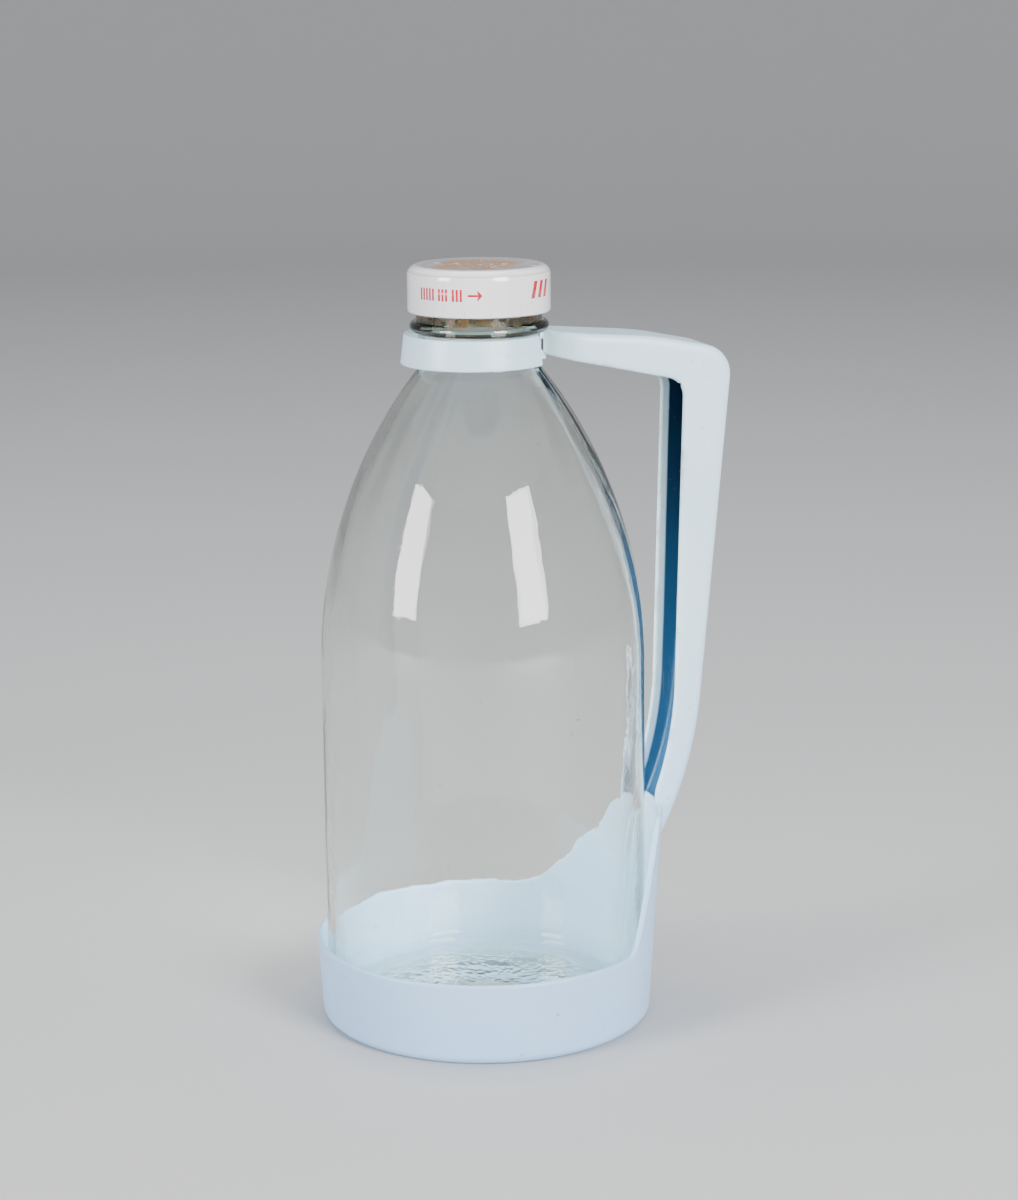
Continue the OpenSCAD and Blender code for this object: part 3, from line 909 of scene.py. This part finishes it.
def mark_carrier(obj):
    """Marks how deep in the channel a point lies, for the painted channel shade, and how close it is to
    the lip.
    """
    lips = np.array([tuple(p) for p in lip_stations])
    backs = np.array([tuple(p) for p in outer_stations])
    inside_values, edge_values = [], []
    for v in obj.data.vertices:
        x, y, z = v.co
        spot = np.array((x, z))
        to_lip = np.min(np.linalg.norm(lips - spot, axis=1))
        to_back = np.min(np.linalg.norm(backs - spot, axis=1))
        near = side_y(x, CHANNEL_T * 0.75)
        within = near < y < HALF_W - CHANNEL_T * 0.75 and to_back > CHANNEL_T * 0.8
        off_cup = math.hypot(x, y) > cup_outer_r(z) + 0.4 * MM or z > ARM_UNDER_Z
        inside = within and off_cup and z > CUP_H
        deep = min(to_lip / DEEP_AT, 1.0) if inside else 0.0
        inside_values.append(deep * smooth_step(30 * MM, 42 * MM, x))
        edge_values.append(1 - smooth_step(0.3 * MM, 1.6 * MM, to_lip))
    write_value(obj, "channel_shade_depth", inside_values)
    write_value(obj, "lip_dirt", edge_values)


def weld(target, other, name):
    """Unites two solids into the first, and gives it a name."""
    modifier = target.modifiers.new("weld", "BOOLEAN")
    modifier.operation = "UNION"
    modifier.solver = "EXACT"
    modifier.object = other
    depsgraph = bpy.context.evaluated_depsgraph_get()
    welded = bpy.data.meshes.new_from_object(target.evaluated_get(depsgraph))
    target.modifiers.clear()
    target.data = welded
    bpy.data.objects.remove(other)
    target.name = target.data.name = name
    target.data.shade_smooth()
    target.data.set_sharp_from_angle(angle=math.radians(48))
    return target


carrier = weld(cup, handle, "carrier_moulding")
mark_carrier(carrier)
print("carrier faces:", len(carrier.data.polygons))

# %% [markdown]
# ## Shader tools
#
# Materials are written with one small function: it adds a node, sets its plain values and links
# whatever is given as a socket. Effects that several materials share are node groups, each with
# named inputs and outputs, so that plastic, glass and tin carry the same kind of wear in their
# own amounts.

# %% Node helpers
def put(tree, kind, values=None, **settings):
    """Adds a node; a socket among the values is linked, anything else is set."""
    node = tree.nodes.new(kind)
    for key, value in settings.items():
        setattr(node, key, value)
    for key, value in (values or {}).items():
        socket = node.inputs[key]
        if isinstance(value, bpy.types.NodeSocket):
            tree.links.new(value, socket)
        else:
            socket.default_value = value
    return node


def make_group(name, inputs, outputs):
    """An empty group with named sockets, and its input and output nodes."""
    group = bpy.data.node_groups.new(name, "ShaderNodeTree")
    for label, kind, value in inputs:
        socket = group.interface.new_socket(label, in_out="INPUT", socket_type=kind)
        if value is not None:
            socket.default_value = value
    for label, kind in outputs:
        group.interface.new_socket(label, in_out="OUTPUT", socket_type=kind)
    return group, group.nodes.new("NodeGroupInput"), group.nodes.new("NodeGroupOutput")


def place(tree, group, values=None):
    """Adds a node group to a material, with its own values."""
    node = tree.nodes.new("ShaderNodeGroup")
    node.node_tree = group
    for key, value in (values or {}).items():
        if isinstance(value, bpy.types.NodeSocket):
            tree.links.new(value, node.inputs[key])
        else:
            node.inputs[key].default_value = value
    return node


def math_node(tree, operation, a, b=0.0, clamp=False):
    return put(tree, "ShaderNodeMath", {0: a, 1: b}, operation=operation, use_clamp=clamp).outputs[0]


def times(tree, a, b):
    return math_node(tree, "MULTIPLY", a, b)


def noise_field(tree, place_at, scale, detail, roughness=0.5):
    values = {"Vector": place_at, "Scale": scale, "Detail": detail, "Roughness": roughness}
    return put(tree, "ShaderNodeTexNoise", values).outputs[0]


def ramp_between(tree, value, low, high):
    """0 below low, 1 above high, smooth between; low may be the larger to turn it round."""
    node = put(
        tree,
        "ShaderNodeMapRange",
        {"Value": value, "From Min": min(low, high), "From Max": max(low, high)},
        interpolation_type="SMOOTHSTEP",
    )
    if low <= high:
        return node.outputs[0]
    node.inputs["To Min"].default_value = 1.0
    node.inputs["To Max"].default_value = 0.0
    return node.outputs[0]


def mix_colour(tree, factor, a, b):
    """Colour a where the factor is 0 and b where it is 1; each is a socket or a plain colour."""
    node = tree.nodes.new("ShaderNodeMix")
    node.data_type = "RGBA"
    for socket, value in ((node.inputs[0], factor), (node.inputs[6], a), (node.inputs[7], b)):
        if isinstance(value, bpy.types.NodeSocket):
            tree.links.new(value, socket)
        elif isinstance(value, tuple):
            socket.default_value = (*value, 1)
        else:
            socket.default_value = value
    return node.outputs[2]


def new_material(name):
    material = bpy.data.materials.new(name)
    material.use_nodes = True
    tree = material.node_tree
    return material, tree, tree.nodes["Principled BSDF"]


# %% Group: specks
def make_specks():
    """Small dark stains, thinly scattered: a fine noise kept only at its peaks."""
    group, inp, out = make_group(
        "specks",
        [("Scale", "NodeSocketFloat", 300.0), ("Amount", "NodeSocketFloat", 0.3)],
        [("Mask", "NodeSocketFloat")],
    )
    place_at = put(group, "ShaderNodeTexCoord").outputs["Object"]
    fine = noise_field(group, place_at, inp.outputs["Scale"], 2.0)
    broad_scale = times(group, inp.outputs["Scale"], 0.12)
    broad = noise_field(group, place_at, broad_scale, 2.0)
    peaks = ramp_between(group, fine, 0.66, 0.76)
    patches = ramp_between(group, broad, 0.42, 0.62)
    both = times(group, peaks, patches)
    group.links.new(times(group, both, inp.outputs["Amount"]), out.inputs["Mask"])
    return group


# %% Group: scuffs
def make_scuffs():
    """Hairline scratches in a few directions, from noise stretched along one axis."""
    group, inp, out = make_group(
        "scuffs",
        [("Scale", "NodeSocketFloat", 60.0), ("Amount", "NodeSocketFloat", 0.3)],
        [("Mask", "NodeSocketFloat")],
    )
    place_at = put(group, "ShaderNodeTexCoord").outputs["Object"]
    total = None
    for turn in ((0.3, 0.2, 0.4), (0.9, -0.5, 1.9), (-0.7, 1.1, 2.8)):
        stretch = {"Vector": place_at, "Rotation": turn, "Scale": (30.0, 1.0, 1.2)}
        stretched = put(group, "ShaderNodeMapping", stretch).outputs[0]
        lines = noise_field(group, stretched, inp.outputs["Scale"], 1.0)
        mask = ramp_between(group, lines, 0.69, 0.74)
        total = mask if total is None else math_node(group, "MAXIMUM", total, mask)
    patches = noise_field(group, place_at, 22.0, 2.0)
    kept = times(group, total, ramp_between(group, patches, 0.48, 0.66))
    group.links.new(times(group, kept, inp.outputs["Amount"]), out.inputs["Mask"])
    return group


# %% Group: band
def make_band():
    """A ragged ring of dirt between two heights, for grime that sits in a groove."""
    group, inp, out = make_group(
        "grime_band",
        [
            ("Low", "NodeSocketFloat", 0.0),
            ("High", "NodeSocketFloat", 1.0),
            ("Soft", "NodeSocketFloat", 0.001),
            ("Ragged", "NodeSocketFloat", 0.001),
        ],
        [("Mask", "NodeSocketFloat")],
    )
    place_at = put(group, "ShaderNodeTexCoord").outputs["Object"]
    height = put(group, "ShaderNodeSeparateXYZ", {"Vector": place_at}).outputs["Z"]
    rough = noise_field(group, place_at, 260.0, 4.0)
    shift = times(group, math_node(group, "SUBTRACT", rough, 0.5), inp.outputs["Ragged"])
    moved = math_node(group, "ADD", height, shift)
    above_low = math_node(group, "SUBTRACT", moved, inp.outputs["Low"])
    below_high = math_node(group, "SUBTRACT", inp.outputs["High"], moved)
    over = math_node(group, "DIVIDE", above_low, inp.outputs["Soft"], True)
    under = math_node(group, "DIVIDE", below_high, inp.outputs["Soft"], True)
    group.links.new(times(group, over, under), out.inputs["Mask"])
    return group


specks, scuffs, band = make_specks(), make_scuffs(), make_band()
print("shader groups:", [g.name for g in bpy.data.node_groups])

# %% [markdown]
# ## Blue plastic
#
# The carrier is polyethylene: half gloss and a little translucent. Its colour goes from a stronger
# blue low on the cup to a paler, greyer blue higher up: painted light standing in for the warm key
# light on the handle. Down in the channel it is painted a dark blue, darkest at the top: painted
# shade for the recess. Its surface has the soft unevenness of a cheap mould, some brown specks and
# hairline scuffs, and a thin brown line of dirt along the lip.

# %% Plastic material
CUP_BLUE = (0.365, 0.610, 0.930)
# Painted light: a paler, greyer blue for the upper parts, standing in for the warm key light on the
# handle.
WARM_LIT_BLUE = (0.560, 0.770, 0.900)
# Painted shade: two dark blues for the inside of the handle's channel, the darker one for its top.
CHANNEL_SHADE_TOP = (0.002, 0.022, 0.062)
CHANNEL_SHADE_LOW = (0.022, 0.100, 0.225)
DIRT_BROWN = (0.300, 0.190, 0.110)


def make_plastic():
    material, tree, shader = new_material("carrier_plastic")
    place_at = put(tree, "ShaderNodeTexCoord").outputs["Object"]
    # Painted shade: the depth in the channel, from about 3 mm inside the lip, sets where the channel is
    # painted dark.
    depth = put(tree, "ShaderNodeAttribute", attribute_name="channel_shade_depth").outputs["Fac"]
    depth = ramp_between(tree, depth, 2.6 * MM / DEEP_AT, 3.5 * MM / DEEP_AT)
    lip = put(tree, "ShaderNodeAttribute", attribute_name="lip_dirt").outputs["Fac"]
    cloud = noise_field(tree, place_at, 26.0, 4.0)
    height_up = put(tree, "ShaderNodeSeparateXYZ", {"Vector": place_at}).outputs["Z"]
    # Painted light: paler and greyer with height, for the warm key light on the handle.
    colour = mix_colour(tree, ramp_between(tree, height_up, 0.03, 0.16), CUP_BLUE, WARM_LIT_BLUE)
    colour = mix_colour(tree, times(tree, cloud, 0.25), colour, (0.72, 0.80, 0.86))
    # Painted shade in the channel, darker towards the top of the handle.
    painted_channel_shade = mix_colour(tree, ramp_between(tree, height_up, 0.08, 0.235), CHANNEL_SHADE_LOW, CHANNEL_SHADE_TOP)
    colour = mix_colour(tree, depth, colour, painted_channel_shade)
    speck_mask = place(tree, specks, {"Scale": 420.0, "Amount": 0.55}).outputs["Mask"]
    colour = mix_colour(tree, speck_mask, colour, DIRT_BROWN)
    scuff_mask = place(tree, scuffs, {"Scale": 42.0, "Amount": 0.12}).outputs["Mask"]
    colour = mix_colour(tree, scuff_mask, colour, (0.44, 0.52, 0.58))
    smear = noise_field(tree, place_at, 120.0, 5.0)
    lip_mask = times(tree, lip, ramp_between(tree, smear, 0.44, 0.7))
    colour = mix_colour(tree, times(tree, lip_mask, 0.38), colour, DIRT_BROWN)
    tree.links.new(colour, shader.inputs["Base Color"])
    rough = math_node(tree, "ADD", times(tree, cloud, 0.16), 0.24)
    rough = math_node(tree, "ADD", rough, times(tree, scuff_mask, 0.5))
    tree.links.new(rough, shader.inputs["Roughness"])
    peel = noise_field(tree, place_at, 700.0, 2.0)
    wave = noise_field(tree, place_at, 70.0, 2.0)
    height = math_node(tree, "ADD", times(tree, peel, 0.12), wave)
    height = math_node(tree, "SUBTRACT", height, times(tree, scuff_mask, 0.6))
    bump = put(tree, "ShaderNodeBump", {"Height": height, "Strength": 0.25, "Distance": 0.0004})
    tree.links.new(bump.outputs[0], shader.inputs["Normal"])
    shader.inputs["IOR"].default_value = 1.5
    shader.inputs["Subsurface Weight"].default_value = 0.12
    shader.inputs["Subsurface Radius"].default_value = (0.6, 0.9, 1.0)
    shader.inputs["Subsurface Scale"].default_value = 0.002
    return material


plastic = make_plastic()

# %% [markdown]
# ## Clear glass
#
# Glass is almost only its shape, so the material stays short: full transmission, a refractive
# index of 1.52, and a volume that absorbs a little more red than green, which shows only where
# the eye looks along a wall. Rust from the cap has run into the groove over the bead, and a
# yellow-brown streak runs down the wall on the handle's side.

# %% Glass material
STREAK_ANGLE = math.radians(-29)


def make_glass():
    material, tree, shader = new_material("bottle_glass")
    place_at = put(tree, "ShaderNodeTexCoord").outputs["Object"]
    x, y, _ = put(tree, "ShaderNodeSeparateXYZ", {"Vector": place_at}).outputs
    groove = {"Low": BEAD_Z + MM, "High": CAP_FOOT + 1.4 * MM, "Soft": MM, "Ragged": 3 * MM}
    rust = place(tree, band, groove).outputs["Mask"]
    blotch = noise_field(tree, place_at, 190.0, 4.0)
    rust = times(tree, rust, ramp_between(tree, blotch, 0.36, 0.62))
    angle = math_node(tree, "ARCTAN2", y, x)
    run = noise_field(tree, place_at, 45.0, 4.0)
    wander = times(tree, math_node(tree, "SUBTRACT", run, 0.5), 0.22)
    off_streak = math_node(tree, "SUBTRACT", angle, STREAK_ANGLE)
    off_streak = math_node(tree, "ABSOLUTE", math_node(tree, "ADD", off_streak, wander))
    streak = times(tree, ramp_between(tree, off_streak, 0.075, 0.03), 0.75)
    tall = {"Low": 0.020, "High": 0.155, "Soft": 0.02, "Ragged": 0.02}
    streak = times(tree, streak, place(tree, band, tall).outputs["Mask"])
    scuff_mask = place(tree, scuffs, {"Scale": 30.0, "Amount": 0.22}).outputs["Mask"]
    # Painted shade: the glass from a little under the bead up to the lip is darkened to an olive grey,
    # for the shade of the cap in the neck.
    painted_neck_shade_band = {"Low": BEAD_Z - 3.2 * MM, "High": LIP_Z, "Soft": 1.2 * MM, "Ragged": MM}
    neck = place(tree, band, painted_neck_shade_band).outputs["Mask"]
    colour = mix_colour(tree, streak, (0.992, 0.996, 0.993), (0.46, 0.33, 0.12))
    # The painted neck shade.
    colour = mix_colour(tree, times(tree, neck, 0.75), colour, (0.20, 0.21, 0.17))
    colour = mix_colour(tree, rust, colour, (0.50, 0.20, 0.04))
    colour = mix_colour(tree, scuff_mask, colour, (0.80, 0.82, 0.82))
    tree.links.new(colour, shader.inputs["Base Color"])
    rough = math_node(tree, "ADD", times(tree, rust, 0.35), times(tree, scuff_mask, 0.12))
    rough = math_node(tree, "ADD", rough, times(tree, streak, 0.1))
    tree.links.new(rough, shader.inputs["Roughness"])
    ripple = noise_field(tree, place_at, 60.0, 1.0)
    fine = noise_field(tree, place_at, 330.0, 1.0)
    ripple = math_node(tree, "ADD", ripple, times(tree, fine, 0.14))
    bump = put(tree, "ShaderNodeBump", {"Height": ripple, "Strength": 0.3, "Distance": 0.0005})
    tree.links.new(bump.outputs[0], shader.inputs["Normal"])
    shader.inputs["Transmission Weight"].default_value = 1.0
    shader.inputs["IOR"].default_value = 1.52
    absorb = put(tree, "ShaderNodeVolumeAbsorption", {"Color": (0.70, 0.77, 0.62, 1), "Density": 34.0})
    clear = put(tree, "ShaderNodeBsdfTransparent", {"Color": (0.94, 0.95, 0.94, 1)})
    shadow = put(tree, "ShaderNodeLightPath").outputs["Is Shadow Ray"]
    both = put(tree, "ShaderNodeMixShader", {0: shadow, 1: shader.outputs[0], 2: clear.outputs[0]})
    surface = tree.nodes["Material Output"].inputs
    tree.links.new(both.outputs[0], surface["Surface"])
    tree.links.new(absorb.outputs[0], surface["Volume"])
    return material


glass_material = make_glass()

# %% [markdown]
# ## Cap, liner and ink
#
# The cap's white lacquer has a pink cast and a high gloss. On the top it has worn and rusted:
# bare grey tin, a tan and brown patch, and flecks of white that still hold. Rust is a matter of
# three masks over each other, each a noise with its own size. The skirt stays clean but for a
# few chips along the rolled edge. The liner is grey-brown pulpboard with a waxed paper face.

# %% Cap material
LACQUER_WHITE = (0.830, 0.790, 0.815)
BARE_TIN = (0.250, 0.230, 0.245)
RUST_BROWN = (0.180, 0.065, 0.022)
RUST_TAN = (0.470, 0.265, 0.105)


def make_lacquer():
    material, tree, shader = new_material("cap_lacquer")
    place_at = put(tree, "ShaderNodeTexCoord").outputs["Object"]
    x, y, z = put(tree, "ShaderNodeSeparateXYZ", {"Vector": place_at}).outputs
    flat = put(tree, "ShaderNodeCombineXYZ", {"X": x, "Y": y}).outputs[0]
    radius = put(tree, "ShaderNodeVectorMath", {0: flat}, operation="LENGTH").outputs["Value"]
    on_top = ramp_between(tree, z, CAP_TOP - 0.7 * MM, CAP_TOP - 0.3 * MM)
    broad = noise_field(tree, flat, 75.0, 5.0, 0.65)
    fine = noise_field(tree, flat, 340.0, 4.0, 0.7)
    wander = times(tree, math_node(tree, "SUBTRACT", broad, 0.5), 0.02)
    worn_r = math_node(tree, "ADD", radius, times(tree, wander, 0.15))
    worn = times(tree, ramp_between(tree, worn_r, 22.0 * MM, 21.0 * MM), on_top)
    patch_x = math_node(tree, "ADD", x, 1.5 * MM)
    patch_at = put(tree, "ShaderNodeCombineXYZ", {"X": patch_x, "Y": y}).outputs[0]
    patch_r = put(tree, "ShaderNodeVectorMath", {0: patch_at}, operation="LENGTH").outputs["Value"]
    rusty = ramp_between(tree, math_node(tree, "ADD", patch_r, wander), 16.5 * MM, 14.0 * MM)
    rusty = times(tree, times(tree, rusty, worn), ramp_between(tree, fine, 0.36, 0.56))
    flecks = times(tree, ramp_between(tree, fine, 0.56, 0.62), ramp_between(tree, broad, 0.5, 0.56))
    flecks = times(tree, flecks, on_top)
    ring = math_node(tree, "ABSOLUTE", math_node(tree, "SUBTRACT", radius, CAP_R - CAP_CORNER))
    ring = times(tree, ramp_between(tree, ring, 0.32 * MM, 0.12 * MM), on_top)
    ring = times(tree, ring, ramp_between(tree, broad, 0.42, 0.58))
    foot = {"Low": CAP_FOOT - 2 * MM, "High": CAP_FOOT + 0.5 * MM, "Soft": 0.5 * MM, "Ragged": 1.6 * MM}
    edge = place(tree, band, foot).outputs["Mask"]
    edge = times(tree, edge, ramp_between(tree, fine, 0.5, 0.6))
    inside = ramp_between(tree, radius, CAP_R - 0.16 * MM, CAP_R - 0.3 * MM)
    below = ramp_between(tree, z, CAP_TOP - 1.0 * MM, CAP_TOP - 4 * MM)
    skirt_inside = times(tree, inside, below)
    colour = mix_colour(tree, ramp_between(tree, broad, 0.3, 0.7), LACQUER_WHITE, (0.800, 0.755, 0.790))
    colour = mix_colour(tree, times(tree, worn, 0.85), colour, BARE_TIN)
    rust_tone = mix_colour(tree, ramp_between(tree, fine, 0.4, 0.66), RUST_BROWN, RUST_TAN)
    colour = mix_colour(tree, rusty, colour, rust_tone)
    colour = mix_colour(tree, flecks, colour, (0.80, 0.77, 0.74))
    chipped = math_node(tree, "MAXIMUM", times(tree, ring, 0.7), edge)
    colour = mix_colour(tree, chipped, colour, (0.25, 0.12, 0.05))
    speck_mask = place(tree, specks, {"Scale": 600.0, "Amount": 0.5}).outputs["Mask"]
    colour = mix_colour(tree, speck_mask, colour, (0.28, 0.15, 0.08))
    colour = mix_colour(tree, skirt_inside, colour, (0.62, 0.60, 0.56))
    tree.links.new(colour, shader.inputs["Base Color"])
    dull = math_node(tree, "MAXIMUM", times(tree, worn, 0.42), times(tree, rusty, 0.8))
    tree.links.new(math_node(tree, "ADD", dull, 0.16), shader.inputs["Roughness"])
    bare = times(tree, worn, math_node(tree, "SUBTRACT", 1.0, rusty))
    bare = times(tree, bare, math_node(tree, "SUBTRACT", 1.0, flecks))
    bare = math_node(tree, "MAXIMUM", times(tree, bare, 0.55), times(tree, skirt_inside, 0.9))
    tree.links.new(bare, shader.inputs["Metallic"])
    no_coat = math_node(tree, "MAXIMUM", worn, math_node(tree, "MAXIMUM", edge, skirt_inside))
    coat = math_node(tree, "SUBTRACT", 1.0, no_coat)
    tree.links.new(times(tree, coat, 0.8), shader.inputs["Coat Weight"])
    shader.inputs["Coat Roughness"].default_value = 0.06
    scuff_mask = place(tree, scuffs, {"Scale": 80.0, "Amount": 0.6}).outputs["Mask"]
    height = math_node(tree, "ADD", times(tree, rusty, fine), times(tree, flecks, 0.5))
    height = math_node(tree, "SUBTRACT", height, times(tree, scuff_mask, 0.3))
    bump = put(tree, "ShaderNodeBump", {"Height": height, "Strength": 0.5, "Distance": 0.0003})
    tree.links.new(bump.outputs[0], shader.inputs["Normal"])
    return material


lacquer = make_lacquer()

# %% Ink and liner materials
def make_ink():
    material, tree, shader = new_material("red_ink")
    place_at = put(tree, "ShaderNodeTexCoord").outputs["Object"]
    thin = noise_field(tree, place_at, 900.0, 3.0)
    patchy = ramp_between(tree, thin, 0.35, 0.75)
    colour = mix_colour(tree, patchy, (0.50, 0.002, 0.012), (0.58, 0.010, 0.025))
    tree.links.new(colour, shader.inputs["Base Color"])
    shader.inputs["Roughness"].default_value = 0.22
    shader.inputs["Coat Weight"].default_value = 0.5
    shader.inputs["Coat Roughness"].default_value = 0.08
    return material


def make_board(name, light, dark, fibre_scale, roughness):
    """Pressed fibres: two tones of stretched noise with a matching bump."""
    material, tree, shader = new_material(name)
    place_at = put(tree, "ShaderNodeTexCoord").outputs["Object"]
    stretched = put(tree, "ShaderNodeMapping", {"Vector": place_at, "Scale": (1.0, 3.0, 1.0)}).outputs[0]
    fibres = noise_field(tree, stretched, fibre_scale, 6.0)
    colour = mix_colour(tree, ramp_between(tree, fibres, 0.35, 0.65), dark, light)
    speck_mask = place(tree, specks, {"Scale": 500.0, "Amount": 0.6}).outputs["Mask"]
    colour = mix_colour(tree, speck_mask, colour, DIRT_BROWN)
    tree.links.new(colour, shader.inputs["Base Color"])
    bump = put(tree, "ShaderNodeBump", {"Height": fibres, "Strength": 0.4, "Distance": 0.0002})
    tree.links.new(bump.outputs[0], shader.inputs["Normal"])
    shader.inputs["Roughness"].default_value = roughness
    return material


ink = make_ink()
board = make_board("liner_board", (0.60, 0.50, 0.37), (0.40, 0.32, 0.22), 380.0, 0.85)
facing = make_board("liner_facing", (0.88, 0.85, 0.76), (0.78, 0.74, 0.64), 240.0, 0.45)
print("materials:", len(bpy.data.materials))

# %% [markdown]
# ## Putting it on the bodies
#
# Each piece now gets its finish, the body it moves with, the material slot it stands for and the
# engineering nodes that it replaces. The collar is given no body.

# %% Finishes and bodies
CARRIER_NODES = ["cup_wall", "cup_floor", "back_tongue", "foot_web", "foot_side_near", "foot_side_far"]
CARRIER_NODES += ["grip_web", "grip_side_near", "grip_side_far"]
CARRIER_NODES += ["arm_web", "arm_side_near", "arm_side_far", "arm_bend"]
BOTTLE_NODES = ["bottle_base", "bottle_body", "bottle_shoulder", "bottle_finish"]


def dress(obj, material, body, nodes=()):
    """Finish, body, material slot and replaced nodes; without a body the piece is attached to none."""
    obj.data.materials.clear()
    obj.data.materials.append(material)
    if body:
        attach(obj, body)
    if nodes:
        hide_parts(*nodes)


dress(carrier, plastic, "carrier", CARRIER_NODES)
dress(collar, plastic, None, ["collar_fixed", "collar_clip"])
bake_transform(collar)
dress(glass, glass_material, "bottle", BOTTLE_NODES)
dress(ramps, glass_material, "bottle")
dress(cap, lacquer, "cap", ["cap_shell"])
dress(cap_print, ink, "cap")
for node, material in (("liner_board", board), ("liner_facing", facing)):
    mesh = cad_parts[node].data
    mesh.materials.clear()
    mesh.materials.append(material)
print("pieces dressed")

# %% [markdown]
# ## Stage and light
#
# Two tall soft boxes stand in front, the stronger one at the right, and their reflections draw
# the bottle's shoulders. Everything else is a grey room and a plain pale floor, because clear
# glass only shows by what it bends and mirrors.

# %% Floor, world and lights
def make_sweep():
    """A round paper sweep: a flat floor that curves up into a wall, all in one sheet."""
    profile = [(0.0, 0.0), (1.2, 0.0)] + arc((2.6, 1.2), 1.2, -90, 0, 16) + [(3.8, 2.6)]
    sweep = turned_solid("paper_sweep", profile, 96, loop_profile=False)
    material, tree, shader = new_material("sweep_paper")
    shader.inputs["Base Color"].default_value = (0.50, 0.50, 0.505, 1)
    shader.inputs["Roughness"].default_value = 0.8
    sweep.data.materials.append(material)


def make_softbox(name, turn, distance, middle_z, size, watts):
    """A tall box of light, turned about the bottle from the camera's side."""
    toward_camera = math.radians(CAMERA_AZIMUTH - 90 + turn)
    light = bpy.data.lights.new(name, "AREA")
    light.shape = "RECTANGLE"
    light.size, light.size_y = size
    light.energy = watts
    obj = bpy.data.objects.new(name, light)
    obj.location = (distance * math.cos(toward_camera), distance * math.sin(toward_camera), middle_z)
    aim = Vector((0, 0, 0.17)) - obj.location
    obj.rotation_euler = aim.to_track_quat("-Z", "Y").to_euler()
    bpy.context.collection.objects.link(obj)


def make_world(strength):
    world = bpy.data.worlds.new("studio")
    world.use_nodes = True
    background = world.node_tree.nodes["Background"]
    background.inputs["Color"].default_value = (0.80, 0.84, 0.88, 1)
    background.inputs["Strength"].default_value = strength
    bpy.context.scene.world = world


make_sweep()
make_world(0.70)
make_softbox("softbox_right", 37, 1.5, 0.68, (0.62, 0.92), 46)
make_softbox("softbox_left", -57, 1.5, 0.63, (0.52, 0.81), 28)
make_softbox("softbox_top", 180, 0.5, 2.0, (1.4, 1.0), 21)
print("lights:", len(bpy.data.lights))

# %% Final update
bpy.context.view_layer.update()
